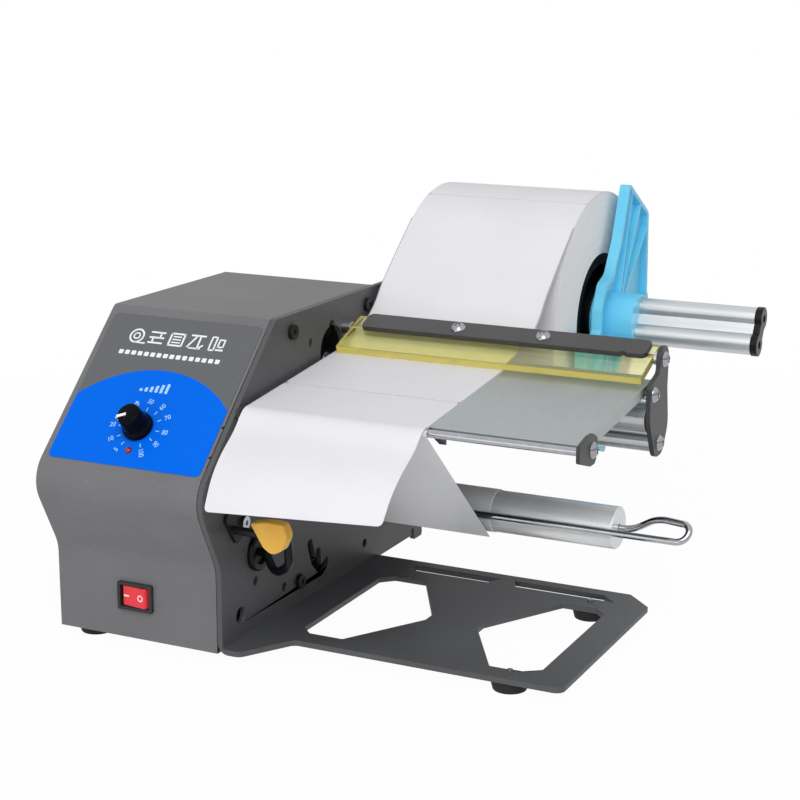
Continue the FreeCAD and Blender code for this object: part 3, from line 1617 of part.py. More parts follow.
pieces = [side_base_plate, front_top_cover, left_cover, floor_panel, cover_screws, side_screws, rubber_feet,
          foot_screws, control_sticker, speed_knob, knob_pointer, potentiometer, pot_nut, power_lamp,
          switch_body, switch_rocker, peel_platform, peel_rod, front_brackets, rod_support, tie_rods,
          link_bracket, guide_roller, roller_axle, rod_screws, presser_plate, presser_bar, presser_screws,
          presser_pivots, presser_spacers, winder_shaft, winder_bearing, winder_gear, liner_wrap, winder_clip,
          drive_gear, motor_shaft, gear_motor, motor_plate, motor_posts, inner_screws, roll_shaft,
          shaft_end_cap, shaft_mount_block, inner_guide_disc, outer_flange, roll_core, core_plugs, label_roll,
          label_web, peeled_label, backing_liner, sensor_hood, sensor_bracket, sensor_screw, sensor_cable,
          cable_grommet, control_board, power_supply, mains_inlet]

nodes = {piece.__name__: piece() for piece in pieces}

bounds = Part.makeCompound(list(nodes.values())).BoundBox
shift = vector(-(bounds.XMin + bounds.XMax) / 2, -(bounds.YMin + bounds.YMax) / 2, -bounds.ZMin)

os.makedirs("parts", exist_ok=True)
for name, shape in nodes.items():
    shape.translate(shift)
    shape.exportStep("parts/" + name + ".step")
print(len(nodes), "pieces,", round(bounds.XLength, 1), round(bounds.YLength, 1), round(bounds.ZLength, 1))
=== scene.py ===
import bisect
import json
import math

import bmesh
import bpy
from mathutils import Matrix, Vector, geometry


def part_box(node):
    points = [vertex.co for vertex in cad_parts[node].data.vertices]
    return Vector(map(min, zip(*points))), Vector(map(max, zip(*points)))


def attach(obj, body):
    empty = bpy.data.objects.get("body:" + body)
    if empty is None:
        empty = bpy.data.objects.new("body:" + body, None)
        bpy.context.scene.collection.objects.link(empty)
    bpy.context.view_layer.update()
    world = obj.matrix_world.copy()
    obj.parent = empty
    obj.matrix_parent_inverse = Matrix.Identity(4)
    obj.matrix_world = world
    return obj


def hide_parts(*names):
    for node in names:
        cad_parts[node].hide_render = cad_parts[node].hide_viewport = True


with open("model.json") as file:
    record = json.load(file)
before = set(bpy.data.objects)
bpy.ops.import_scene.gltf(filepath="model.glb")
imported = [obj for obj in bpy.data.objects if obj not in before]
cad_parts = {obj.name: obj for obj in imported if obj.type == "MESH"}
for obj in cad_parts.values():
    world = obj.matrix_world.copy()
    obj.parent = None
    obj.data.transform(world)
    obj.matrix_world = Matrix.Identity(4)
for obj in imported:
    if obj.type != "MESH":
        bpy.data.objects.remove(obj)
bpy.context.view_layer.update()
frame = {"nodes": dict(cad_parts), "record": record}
nodes = frame["nodes"]
print("frame loaded,", len(nodes), "nodes")

# Everything below is laid out in millimetres from the side plate's lower front corner,
# X along the rollers, Y to the back, Z up, and moved onto the frame at the end.
plateSet = {"thickness": 3.0, "armBack": 278.0, "joint": 0.22}
plateLow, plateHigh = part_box("side_base_plate")
mm = 0.001
origin = Vector((plateLow.x + plateSet["thickness"] * mm, plateHigh.y - plateSet["armBack"] * mm, 0))
toFrame = Matrix.Translation(origin) @ Matrix.Scale(mm, 4)
toDraft = toFrame.inverted()


def spot(x, y, z):
    return toFrame @ Vector((x, y, z))


# Camera at the photograph's angle
cameraSet = {"place": (467.35, -753.28, 352.53), "azimuth": 26.05, "elevation": 13.64, "roll": 0.13,
             "lens": 83.82, "sensor": 36}


def setCamera():
    data = bpy.data.cameras.new("camera")
    data.lens = cameraSet["lens"]
    data.sensor_width = cameraSet["sensor"]
    eye = bpy.data.objects.new("camera", data)
    bpy.context.scene.collection.objects.link(eye)
    turn = Matrix.Rotation(math.radians(cameraSet["azimuth"]), 4, "Z")
    turn = turn @ Matrix.Rotation(math.radians(90 - cameraSet["elevation"]), 4, "X")
    turn = turn @ Matrix.Rotation(math.radians(cameraSet["roll"]), 4, "Z")
    eye.matrix_world = Matrix.Translation(spot(*cameraSet["place"])) @ turn
    bpy.context.scene.camera = eye


setCamera()
print("camera set")


# Finishes

def rgb(red, green, blue):
    # colour as it is seen, 0 to 255, to the linear colour of a socket
    return tuple((c / 255 / 12.92) if c < 10.3 else ((c / 255 + 0.055) / 1.055) ** 2.4
                 for c in (red, green, blue)) + (1,)


class Plug:
    # a node's output that can stand in a sum

    def __init__(self, finish, socket):
        self.finish = finish
        self.socket = socket

    def reckon(self, operation, first, second):
        return self.finish.add("ShaderNodeMath", {"operation": operation}, {0: first, 1: second})

    def __add__(self, other):
        return self.reckon("ADD", self, other)

    __radd__ = __add__

    def __sub__(self, other):
        return self.reckon("SUBTRACT", self, other)

    def __rsub__(self, other):
        return self.reckon("SUBTRACT", other, self)

    def __mul__(self, other):
        return self.reckon("MULTIPLY", self, other)

    __rmul__ = __mul__

    def __gt__(self, other):
        return self.reckon("GREATER_THAN", self, other)

    def __lt__(self, other):
        return self.reckon("LESS_THAN", self, other)


class Finish:
    # a material being mixed; its shader is a Principled BSDF

    def __init__(self, name, **sockets):
        self.material = bpy.data.materials.new(name)
        self.material.use_nodes = True
        self.tree = self.material.node_tree
        self.tree.nodes.clear()
        self.shader = self.tree.nodes.new("ShaderNodeBsdfPrincipled")
        self.out = self.tree.nodes.new("ShaderNodeOutputMaterial")
        self.tree.links.new(self.shader.outputs[0], self.out.inputs[0])
        for socket, value in sockets.items():
            self.give(socket.replace("_", " "), value)

    def feed(self, socket, value):
        if isinstance(value, Plug):
            self.tree.links.new(value.socket, socket)
        else:
            socket.default_value = value

    def give(self, socket, value):
        self.feed(self.shader.inputs[socket], value)

    def add(self, kind, settings=None, values=None, output=0):
        node = self.tree.nodes.new(kind)
        for name, value in (settings or {}).items():
            if name == "stops":
                ramp = node.color_ramp.elements
                ramp[0].position, ramp[0].color = value[0]
                ramp[1].position, ramp[1].color = value[-1]
                for place, colour in value[1:-1]:
                    ramp.new(place).color = colour
            else:
                setattr(node, name, value)
        for name, value in (values or {}).items():
            self.feed(node.inputs[name], value)
        return Plug(self, node.outputs[output])

    def blend(self, share, other):
        # a share of another shader over the Principled BSDF
        own = Plug(self, self.shader.outputs[0])
        both = self.add("ShaderNodeMixShader", None, {0: share, 1: own, 2: other})
        self.tree.links.new(both.socket, self.out.inputs[0])

    def point(self):
        return self.add("ShaderNodeTexCoord", output="Object")

    def stretched(self, scale):
        return self.add("ShaderNodeMapping", None, {"Vector": self.point(), "Scale": scale})

    def centred(self, place, turn=(0, 0, 0), scale=(mm, mm, mm)):
        # the pattern's own millimetres about a place on the piece
        values = {"Vector": self.point(), "Location": spot(*place), "Rotation": turn, "Scale": scale}
        return self.add("ShaderNodeMapping", {"vector_type": "TEXTURE"}, values)

    def split(self, vector):
        return [self.add("ShaderNodeSeparateXYZ", None, {0: vector}, axis) for axis in ("X", "Y", "Z")]

    def noise(self, vector, scale, detail=2.0, roughness=0.5):
        return self.add("ShaderNodeTexNoise", None,
                        {"Vector": vector, "Scale": scale, "Detail": detail, "Roughness": roughness})

    def rings(self, distance, scale, detail=2.0):
        return self.add("ShaderNodeTexNoise", {"noise_dimensions": "1D"},
                        {"W": distance, "Scale": scale, "Detail": detail})

    def absolute(self, value):
        return self.add("ShaderNodeMath", {"operation": "ABSOLUTE"}, {0: value})

    def range(self, value, low, high, toLow=0.0, toHigh=1.0):
        values = {"Value": value, "From Min": low, "From Max": high, "To Min": toLow, "To Max": toHigh}
        return self.add("ShaderNodeMapRange", {"interpolation_type": "SMOOTHSTEP"}, values)

    def mix(self, share, first, second):
        return self.add("ShaderNodeMix", {"data_type": "RGBA"}, {0: share, 6: first, 7: second}, 2)

    def bump(self, height, strength, distance):
        values = {"Height": height, "Strength": strength, "Distance": distance * mm}
        self.give("Normal", self.add("ShaderNodeBump", None, values))

    def facing(self, axis):
        # how far a face looks along one of the piece's axes, 0 to 2 for X to Z
        return self.split(self.add("ShaderNodeTexCoord", output="Normal"))[axis]

    def span(self, vector, keep):
        # length of a vector with some of its axes left out
        flat = self.add("ShaderNodeVectorMath", {"operation": "MULTIPLY"}, {0: vector, 1: keep})
        return self.add("ShaderNodeVectorMath", {"operation": "LENGTH"}, {0: flat}, "Value")


def paint(name, low, high, grain=1300, sheen=0.40, depth=0.05):
    # sandy powder coat on sheet metal, with lighter flecks painted in as glints on its grains, and a dark
    # strip painted as the shade in the gap where the cover meets the side plate
    coat = Finish(name, IOR=1.42)
    # the strip along that gap, darkened below as painted shade
    joint = coat.absolute(coat.split(coat.centred((-plateSet["thickness"], 0, 0)))[0]) < plateSet["joint"]
    acrossGapShade = coat.absolute(coat.facing(0)) < 0.5
    sand = coat.noise(coat.point(), grain, 3)
    cloud = coat.noise(coat.point(), 14, 3)
    # lighter flecks in the colour: painted glints of the coat's grains
    paintedGlint = coat.range(coat.noise(coat.point(), grain * 0.7, 1), 0.62, 0.75)
    shade = coat.mix(coat.range(cloud, 0.3, 0.7), low, high)
    shade = coat.mix(paintedGlint * 0.25, shade, tuple(min(1, 1.9 * c) for c in high[:3]) + (1,))
    coat.give("Base Color", coat.mix(joint * acrossGapShade * 0.8, shade, rgb(6, 6, 6)))
    coat.give("Roughness", sheen + 0.16 * sand)
    coat.bump(sand, 0.35, depth)
    return coat.material


def plastic(name, low, high, roughness, depth=0.01, **sockets):
    # moulded plastic with a faint flow and a fine skin
    skin = Finish(name, **sockets)
    flow = skin.noise(skin.point(), 60, 4)
    fine = skin.noise(skin.point(), 2600, 2)
    skin.give("Base Color", skin.mix(skin.range(flow, 0.3, 0.7), low, high))
    skin.give("Roughness", roughness + 0.10 * flow + 0.05 * fine)
    skin.bump(fine, 0.3, depth)
    return skin.material


endSet = {"facing": 0.8}


def brushed(name, low, high, roughness, grain=(14, 900, 900), centre=None, depth=0.004, metallic=1.0):
    # metal brushed along one axis; an end face that looks along X is turned in rings about its centre
    metal = Finish(name, Metallic=metallic)
    streak = metal.noise(metal.stretched(grain), 1.0, 4, 0.65)
    cloud = metal.noise(metal.point(), 22, 3)
    if centre:
        ring = metal.rings(metal.span(metal.centred(centre), (0, 1, 1)), 3.0, 3)
        onEnd = metal.absolute(metal.facing(0)) > endSet["facing"]
        streak = streak * (1 - onEnd) + ring * onEnd
    metal.give("Base Color", metal.mix(metal.range(streak * 0.7 + cloud * 0.3, 0.25, 0.75), low, high))
    metal.give("Roughness", roughness + 0.22 * streak)
    metal.bump(streak, 0.5, depth)
    return metal.material


def polished(name, low, high, roughness):
    metal = Finish(name, Metallic=1.0)
    haze = metal.noise(metal.point(), 240, 4)
    scratch = metal.noise(metal.stretched((400, 3000, 3000)), 1.0, 2)
    metal.give("Base Color", metal.mix(haze, low, high))
    metal.give("Roughness", roughness + 0.10 * haze * scratch)
    metal.bump(scratch, 0.12, 0.002)
    return metal.material


def paper(name, low, high, roughness, depth=0.006, above=None):
    # above is the tone of faces that look up
    sheet = Finish(name, IOR=1.45)
    fibre = sheet.noise(sheet.point(), 900, 5, 0.7)
    cloud = sheet.noise(sheet.point(), 18, 3)
    shade = sheet.mix(sheet.range(fibre * 0.4 + cloud * 0.6, 0.3, 0.7), low, high)
    if above:
        shade = sheet.mix(sheet.facing(2) > 0.5, shade, above)
    sheet.give("Base Color", shade)
    sheet.give("Roughness", roughness + 0.12 * fibre)
    sheet.bump(fibre, 0.3, depth)
    return sheet.material


print("finishes ready")


# Making pieces

smoothing = {"weld": 0.001, "flat": 0.6, "sharp": 32, "bevelled": 28}


def place(name, bm, material, body, slotName, replaces=(), bevel=0.0, segments=2, sharp=None, clamp=False):
    # a bmesh drawn in millimetres becomes a finished piece on a body
    bmesh.ops.transform(bm, matrix=toFrame, verts=bm.verts)
    mesh = bpy.data.meshes.new(name)
    bm.to_mesh(mesh)
    bm.free()
    for finish in material if isinstance(material, list) else [material]:
        mesh.materials.append(finish)
    mesh.shade_smooth()
    mesh.set_sharp_from_angle(angle=math.radians(sharp or smoothing["sharp"]))
    piece = bpy.data.objects.new(name, mesh)
    bpy.context.scene.collection.objects.link(piece)
    if bevel:
        edge = piece.modifiers.new("edges", "BEVEL")
        edge.width = bevel * mm
        edge.segments = segments
        edge.limit_method = "ANGLE"
        edge.angle_limit = math.radians(smoothing["bevelled"])
        edge.use_clamp_overlap = clamp
        edge.harden_normals = True
    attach(piece, body)
    if replaces:
        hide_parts(*replaces)


def bodyOf(node):
    bodies = frame["record"]["behaviour"]["bodies"]
    return next(body for body, members in bodies.items() if node in members)


def traced(node):
    # merged copy of a CAD node in millimetres
    bm = bmesh.new()
    bm.from_mesh(nodes[node].data)
    bmesh.ops.transform(bm, matrix=toDraft, verts=bm.verts)
    bmesh.ops.remove_doubles(bm, verts=bm.verts, dist=smoothing["weld"])
    flat = math.radians(smoothing["flat"])
    bmesh.ops.dissolve_limit(bm, angle_limit=flat, verts=bm.verts, edges=bm.edges)
    return bm


def dress(node, name, material, slotName, bevel=0.3, segments=2, clamp=False):
    place(name, traced(node), material, bodyOf(node), slotName, (node,), bevel, segments, clamp=clamp)


def coat(node, material):
    # hidden inside the housing: the CAD node stays and takes a finish
    data = nodes[node].data
    data.materials.clear()
    data.materials.append(material)


def lathe(bm, profile, axis=(0, 0, 0), along=(1, 0, 0), steps=64):
    # profile holds (along the axis, radius) pairs; a full turn about the axis
    way = Vector(along).normalized()
    side = way.orthogonal().normalized()
    centre = Vector(axis)
    ring = [bm.verts.new(centre + way * a + side * r) for a, r in profile]
    edges = [bm.edges.new(pair) for pair in zip(ring, ring[1:])]
    bmesh.ops.spin(bm, geom=ring + edges, cent=centre, axis=way, dvec=(0, 0, 0), angle=2 * math.pi,
                   steps=steps, use_merge=True)
    bmesh.ops.remove_doubles(bm, verts=bm.verts, dist=smoothing["weld"])


def closed(bm):
    bmesh.ops.recalc_face_normals(bm, faces=bm.faces)
    return bm


# Housing and plates: sheet metal with a sandy grey powder coat

faceSet = {"topDepth": 58.4, "top": 167.8, "lowDepth": -20.3, "low": 91.3}
faceAngle = math.atan2(faceSet["top"] - faceSet["low"], faceSet["topDepth"] - faceSet["lowDepth"])
faceToDraft = (Matrix.Translation((0, faceSet["topDepth"], faceSet["top"]))
               @ Matrix.Rotation(faceAngle, 4, "X"))

greyPaint = paint("grey_paint", rgb(106, 106, 108), rgb(114, 114, 116))
# the housing's grey coat, made darker here as painted shade on the side and base plate
shadedSidePaint = paint("shaded_side_paint", rgb(78, 79, 81), rgb(86, 87, 89))
darkPaint = paint("dark_paint", rgb(60, 60, 62), rgb(67, 67, 69), sheen=0.34)
bracketPaint = paint("bracket_paint", rgb(48, 48, 50), rgb(55, 55, 57), sheen=0.34)
# near black painted shade, used only on the cover's flange behind the side plate
paintedInnerShade = plastic("inner_painted_shade", rgb(6, 6, 7), rgb(9, 9, 10), 0.6, IOR=1.15)

# the cover's flange behind the side plate shows only through the plate's slots, and is near black there as
# painted shade
cover = traced("front_top_cover")
for f in cover.faces:
    f.normal_update()
    behind = f.normal.x > 0.9 and abs(f.calc_center_median().x + plateSet["thickness"]) < 0.1
    f.material_index = 1 if behind else 0
place("painted_front_and_top", cover, [greyPaint, paintedInnerShade], bodyOf("front_top_cover"), "grey_paint",
      ("front_top_cover",), 0.25)
dress("side_base_plate", "painted_side_and_base", shadedSidePaint, "grey_paint", 0.35)
dress("left_cover", "painted_left_cover", greyPaint, "grey_paint", 0.25)
coat("floor_panel", greyPaint)
print("housing done")

# Feet
rubber = plastic("foot_rubber", rgb(36, 36, 37), rgb(43, 43, 44), 0.62, 0.02, IOR=1.3)
dress("rubber_feet", "moulded_feet", rubber, "foot_rubber", 0.5)

# Steel parts
brightSteel = polished("bright_steel", rgb(150, 152, 155), rgb(184, 186, 189), 0.10)
satinSteel = brushed("satin_steel", rgb(168, 170, 172), rgb(200, 202, 204), 0.20)
winderSteel = brushed("winder_steel", rgb(222, 223, 224), rgb(238, 239, 239), 0.2,
                      centre=(170, 109.5, 66), metallic=0.35)
sheetSteel = brushed("sheet_steel", rgb(166, 172, 173), rgb(178, 184, 185), 0.36, (900, 30, 900),
                     depth=0.002)
blackSteel = plastic("black_steel", rgb(22, 22, 24), rgb(28, 28, 30), 0.3, IOR=1.32)
shaftAluminium = brushed("shaft_aluminium", rgb(188, 192, 195), rgb(206, 210, 213), 0.30)
zincSteel = brushed("zinc_steel", rgb(140, 142, 144), rgb(170, 172, 172), 0.35)

dress("peel_platform", "peeling_platform", sheetSteel, "platform_sheet", 0.2)
dress("peel_rod", "peeling_rod", brightSteel, "polished_steel", 0.15)
dress("rod_support", "rod_hook", bracketPaint, "dark_metal", 0.2)
dress("tie_rods", "platform_rods", satinSteel, "brushed_steel", 0.25)
dress("guide_roller", "turned_guide_roller", satinSteel, "brushed_steel", 0.3)
coat("roller_axle", satinSteel)
dress("front_brackets", "rod_brackets", bracketPaint, "dark_metal", 0.25)
dress("link_bracket", "pear_bracket", bracketPaint, "dark_metal", 0.3)
dress("winder_shaft", "winder_bar", winderSteel, "brushed_steel", 0.3)
dress("winder_clip", "hairpin_clip", brightSteel, "polished_steel", 0.2)
dress("presser_bar", "presser_strip", darkPaint, "dark_metal", 0.35)
dress("presser_spacers", "pivot_collars", satinSteel, "brushed_steel", 0.2)
dress("roll_shaft", "grooved_shaft", shaftAluminium, "aluminium", 0.25)

domeSteel = polished("dome_steel", rgb(134, 136, 140), rgb(180, 182, 186), 0.05)
domeNodes = {"rod_screws": "rod_dome_screws", "presser_screws": "strip_dome_screws",
             "presser_pivots": "pivot_dome_screws"}
for node, name in domeNodes.items():
    dress(node, name, domeSteel, "polished_steel", 0.15)
dress("side_screws", "black_cap_screws", blackSteel, "black_steel", 0.4)
dress("cover_screws", "cover_pan_screws", blackSteel, "black_steel", 0.3)
dress("sensor_screw", "bracket_pan_screw", brightSteel, "polished_steel", 0.2)
coat("foot_screws", zincSteel)
coat("inner_screws", zincSteel)
print("metal parts done")

# Plastic parts
blackPlastic = plastic("black_plastic", rgb(12, 13, 16), rgb(18, 19, 22), 0.24, IOR=1.3)
knobBlack = plastic("knob_black", rgb(6, 8, 12), rgb(10, 12, 16), 0.14, IOR=1.14)
bezelPlastic = plastic("bezel_plastic", rgb(42, 42, 44), rgb(49, 49, 51), 0.35, IOR=1.35)
bluePlastic = plastic("blue_plastic", rgb(106, 206, 243), rgb(118, 214, 248), 0.26, Subsurface_Weight=0.25,
                      Subsurface_Radius=(0.6, 1.0, 1.0), Subsurface_Scale=0.004)
coreBlack = plastic("core_black", rgb(6, 7, 8), rgb(10, 11, 12), 0.42, IOR=1.2)
amber = plastic("amber_plastic", rgb(253, 190, 70), rgb(255, 202, 84), 0.34, Subsurface_Weight=0.2,
                Subsurface_Radius=(1.0, 0.6, 0.2), Subsurface_Scale=0.003)
rockerRed = plastic("rocker_red", rgb(230, 40, 52), rgb(238, 50, 62), 0.22, Subsurface_Weight=0.2,
                    Subsurface_Radius=(1.0, 0.2, 0.2), Subsurface_Scale=0.002)
lampRed = plastic("lamp_red", rgb(128, 8, 16), rgb(152, 16, 24), 0.08, Coat_Weight=0.4)
nylon = plastic("nylon", rgb(222, 220, 210), rgb(232, 230, 222), 0.4)
bronze = brushed("bronze", rgb(150, 112, 66), rgb(176, 134, 84), 0.34)
motorSteel = brushed("motor_steel", rgb(140, 142, 146), rgb(166, 168, 172), 0.32)
boardGreen = plastic("circuit_board", rgb(20, 74, 44), rgb(28, 92, 56), 0.36)

dress("outer_flange", "guide_flange", bluePlastic, "blue_plastic", 0.35, 3, True)
dress("inner_guide_disc", "inner_disc", bluePlastic, "blue_plastic", 0.3)
dress("shaft_end_cap", "shaft_cap", blackPlastic, "black_plastic", 0.5)
dress("core_plugs", "roll_plugs", coreBlack, "core_card", 0.4)
dress("roll_core", "roll_tube", coreBlack, "core_card", 0.3)
dress("sensor_hood", "amber_hood", amber, "amber_plastic", 0.2, 2, True)
dress("sensor_bracket", "hood_bracket", blackSteel, "black_steel", 0.2)
dress("sensor_cable", "hood_cable", blackPlastic, "black_plastic", 0.0)
dress("cable_grommet", "rubber_grommet", blackPlastic, "black_plastic", 0.0)
dress("switch_body", "switch_frame", bezelPlastic, "black_plastic", 0.3)
dress("switch_rocker", "red_rocker", rockerRed, "red_plastic", 0.35, 3)
dress("power_lamp", "round_lamp", lampRed, "lamp_red", 0.0)
dress("mains_inlet", "appliance_inlet", bezelPlastic, "black_plastic", 0.4)
coat("winder_bearing", bronze)
coat("winder_gear", nylon)
coat("drive_gear", bronze)
coat("motor_shaft", satinSteel)
coat("gear_motor", motorSteel)
coat("motor_plate", zincSteel)
coat("motor_posts", zincSteel)
coat("shaft_mount_block", shaftAluminium)
coat("potentiometer", zincSteel)
coat("pot_nut", zincSteel)
coat("control_board", boardGreen)
coat("power_supply", motorSteel)
print("plastic parts done")

# Paper: flat sheets cut in a bmesh, then bent onto a line in the Y-Z plane
rollSet = {"depth": 257.0, "height": 143.5, "body": 72.7, "core": 37.5, "leave": 128.0, "webRadius": 73.3,
           "run": 40, "rim": 0.25, "steps": 180, "firstEdge": 109, "seam": 130}
webSet = {"left": 3.0, "right": 103.0, "margin": 0.7, "liner": 0.2, "label": 0.3, "corner": 2.6, "gap": 1.1,
          "labelPitch": 97.5, "firstGap": 60.0}
platformSet = {"front": 25.2, "steer": 100, "back": 118.0, "height": 130.7, "slope": 6.0}
sagPoints = [(145.85, 147.5), (163.2, 158.6), (175.8, 171.5)]
rodSet = {"depth": 22.9, "height": 128.146, "reach": 2.3}
winderSet = {"depth": 109.5, "height": 66.0, "reach": 15.3, "tangent": -132.67}
hangSet = {"run": 47.2, "drop": 40.8, "onLiner": (26, 40, 52, 66, 80),
           "share": [(1, 1), (0.826, 0.68), (0.63, 0.458), (0.348, 0.236), (0.15, 0.03)],
           "twist": (-2.5, 3.85), "forward": -0.9, "raise": 1.25, "twistGrowth": 1.4}


def platformTop(depth):
    rise = math.tan(math.radians(platformSet["slope"]))
    return platformSet["height"] + (depth - platformSet["front"]) * rise


def around(depth, height, radius, start, end, step=4):
    # points of an arc, angles from +Y toward +Z
    count = max(2, round(abs(end - start) / step))
    angles = [math.radians(start + (end - start) * i / count) for i in range(count + 1)]
    return [(depth + radius * math.cos(a), height + radius * math.sin(a)) for a in angles]


def bow(points, resolution=10):
    # smooth curve through all points but the first and the last, which only steer its ends
    curve = []
    for before, start, end, after in zip(points, points[1:], points[2:], points[3:]):
        p, q, r, s = (Vector((a, b, 0)) for a, b in (before, start, end, after))
        arc = geometry.interpolate_bezier(q, q + (r - p) / 6, r - (s - q) / 6, r, resolution)
        curve += [(v.x, v.y) for v in arc]
    return curve


class Track:
    # a plane line measured along its length

    def __init__(self, points):
        self.points = [Vector(points[0])]
        for point in points[1:]:
            if (Vector(point) - self.points[-1]).length > 0.02:
                self.points.append(Vector(point))
        self.lengths = [0]
        for a, b in zip(self.points, self.points[1:]):
            self.lengths.append(self.lengths[-1] + (b - a).length)
        ways = [(b - a).normalized() for a, b in zip(self.points, self.points[1:])]
        mean = [(a + b).normalized() for a, b in zip([ways[0]] + ways, ways + [ways[-1]])]
        self.normals = [Vector((-w.y, w.x)) for w in mean]

    def at(self, along, lift):
        along = min(max(along, 0), self.lengths[-1])
        i = min(bisect.bisect_right(self.lengths, along), len(self.lengths) - 1) - 1
        share = (along - self.lengths[i]) / (self.lengths[i + 1] - self.lengths[i])
        point = self.points[i].lerp(self.points[i + 1], share)
        normal = self.normals[i].lerp(self.normals[i + 1], share).normalized()
        return point + normal * lift

    def crossing(self, depth):
        # length at which the line, followed back from its far end, first passes a depth
        for i in range(len(self.points) - 1, 0, -1):
            before, after = self.points[i - 1].x, self.points[i].x
            if min(before, after) <= depth <= max(before, after):
                share = (depth - before) / (after - before)
                return self.lengths[i - 1] + share * (self.lengths[i] - self.lengths[i - 1])


def layOn(bm, track, x0, x1, start, end, low, high, corners=0.0, pitch=1.5, ends=(True, True)):
    # a sheet from start to end along the track, low to high above it, with rounded corners where wanted
    middle = (start + end) / 2
    sheet = bmesh.new()
    bmesh.ops.create_grid(sheet, x_segments=1, y_segments=1, size=0.5)
    bmesh.ops.transform(sheet, verts=sheet.verts, matrix=Matrix.Translation(((x0 + x1) / 2, middle, 0))
                        @ Matrix.Diagonal((x1 - x0, end - start, 1, 1)))
    if corners:
        turned = [v for v in sheet.verts if ends[0 if v.co.y < middle else 1]]
        bmesh.ops.bevel(sheet, geom=turned, affect="VERTICES", offset=corners, offset_type="OFFSET",
                        segments=5, profile=0.5, material=-1)
    count = max(1, round((end - start) / pitch))
    for i in range(1, count):
        cutAt = (0, start + (end - start) * i / count, 0)
        bmesh.ops.bisect_plane(sheet, geom=sheet.verts[:] + sheet.edges[:] + sheet.faces[:], dist=0.0001,
                               plane_co=cutAt, plane_no=(0, 1, 0))
    bmesh.ops.transform(sheet, verts=sheet.verts, matrix=Matrix.Translation((0, 0, low)))
    skin = bmesh.ops.extrude_face_region(sheet, geom=sheet.faces[:])
    raised = [v for v in skin["geom"] if isinstance(v, bmesh.types.BMVert)]
    bmesh.ops.translate(sheet, verts=raised, vec=(0, 0, high - low))
    for v in sheet.verts:
        point = track.at(v.co.y, v.co.z)
        v.co = (v.co.x, point.x, point.y)
    bmesh.ops.recalc_face_normals(sheet, faces=sheet.faces)
    cut = bpy.data.meshes.new("sheet")
    sheet.to_mesh(cut)
    sheet.free()
    bm.from_mesh(cut)
    bpy.data.meshes.remove(cut)


def onCircle(circle, radius, degrees):
    turn = math.radians(degrees)
    return (circle["depth"] + radius * math.cos(turn), circle["height"] + radius * math.sin(turn))


leavePoint = onCircle(rollSet, rollSet["webRadius"], rollSet["leave"])
leaveAngle = math.radians(rollSet["leave"])
beyond = (leavePoint[0] + rollSet["run"] * math.sin(leaveAngle),
          leavePoint[1] - rollSet["run"] * math.cos(leaveAngle))
webCurve = bow([(depth, platformTop(depth)) for depth in (platformSet["steer"], platformSet["back"])]
               + sagPoints + [leavePoint, beyond])
winderEnd = onCircle(winderSet, winderSet["reach"], winderSet["tangent"])
roundRod = around(rodSet["depth"], rodSet["height"], rodSet["reach"], 360 + winderSet["tangent"],
                  90 + platformSet["slope"], 8)
linerTrack = Track([winderEnd] + roundRod + [(platformSet["front"], platformSet["height"])] + webCurve)

labelWhite = paper("label_paper", rgb(229, 228, 233), rgb(235, 234, 238), 0.46)
linerGrey = paper("liner_paper", rgb(232, 233, 234), rgb(238, 239, 240), 0.34)
# the liner is darker where it looks up, which shows only between and beside the labels: painted shade of those
# gaps
linerGapShade = paper("liner_gap_shade", rgb(232, 233, 234), rgb(238, 239, 240), 0.34,
                   above=rgb(170, 171, 176))

linerSheet = bmesh.new()
layOn(linerSheet, linerTrack, webSet["left"], webSet["right"], 0, linerTrack.lengths[-1], 0,
      webSet["liner"])
place("liner_sheet", linerSheet, linerGapShade, "frame", "liner_paper", ("backing_liner",))

# The label at the front has left the liner and hangs down in a bow
liftOff = (platformSet["front"], platformSet["height"] + webSet["liner"])
hangPoints = [(liftOff[0] - hangSet["run"] * run, liftOff[1] - hangSet["drop"] * drop)
              for run, drop in hangSet["share"]]
tip, second = hangPoints[:2]
hangPoints = [(2 * tip[0] - second[0], 2 * tip[1] - second[1])] + hangPoints
onLiner = [(depth, platformTop(depth) + webSet["liner"] * 1.05) for depth in hangSet["onLiner"]]
hangTrack = Track(bow(hangPoints + onLiner))
labelLeft, labelRight = webSet["left"] + webSet["margin"], webSet["right"] - webSet["margin"]
labelSheets = bmesh.new()
layOn(labelSheets, hangTrack, labelLeft, labelRight, 0, hangTrack.crossing(webSet["firstGap"]), 0,
      webSet["label"], webSet["corner"])
for v in labelSheets.verts:
    fallen = max(0.0, (platformSet["height"] - v.co.z) / hangSet["drop"]) ** hangSet["twistGrowth"]
    side = 2 * (v.co.x - labelLeft) / (labelRight - labelLeft) - 1
    v.co.y += fallen * (hangSet["forward"] + side * hangSet["twist"][0])
    v.co.z += fallen * (hangSet["raise"] + side * hangSet["twist"][1])
gapEnd = linerTrack.crossing(webSet["firstGap"]) + webSet["gap"]
layOn(labelSheets, linerTrack, labelLeft, labelRight, gapEnd, linerTrack.lengths[-1],
      webSet["liner"], webSet["liner"] + webSet["label"], webSet["corner"], ends=(True, False))
place("label_sheets", labelSheets, labelWhite, "frame", "label_paper", ("label_web", "peeled_label"))

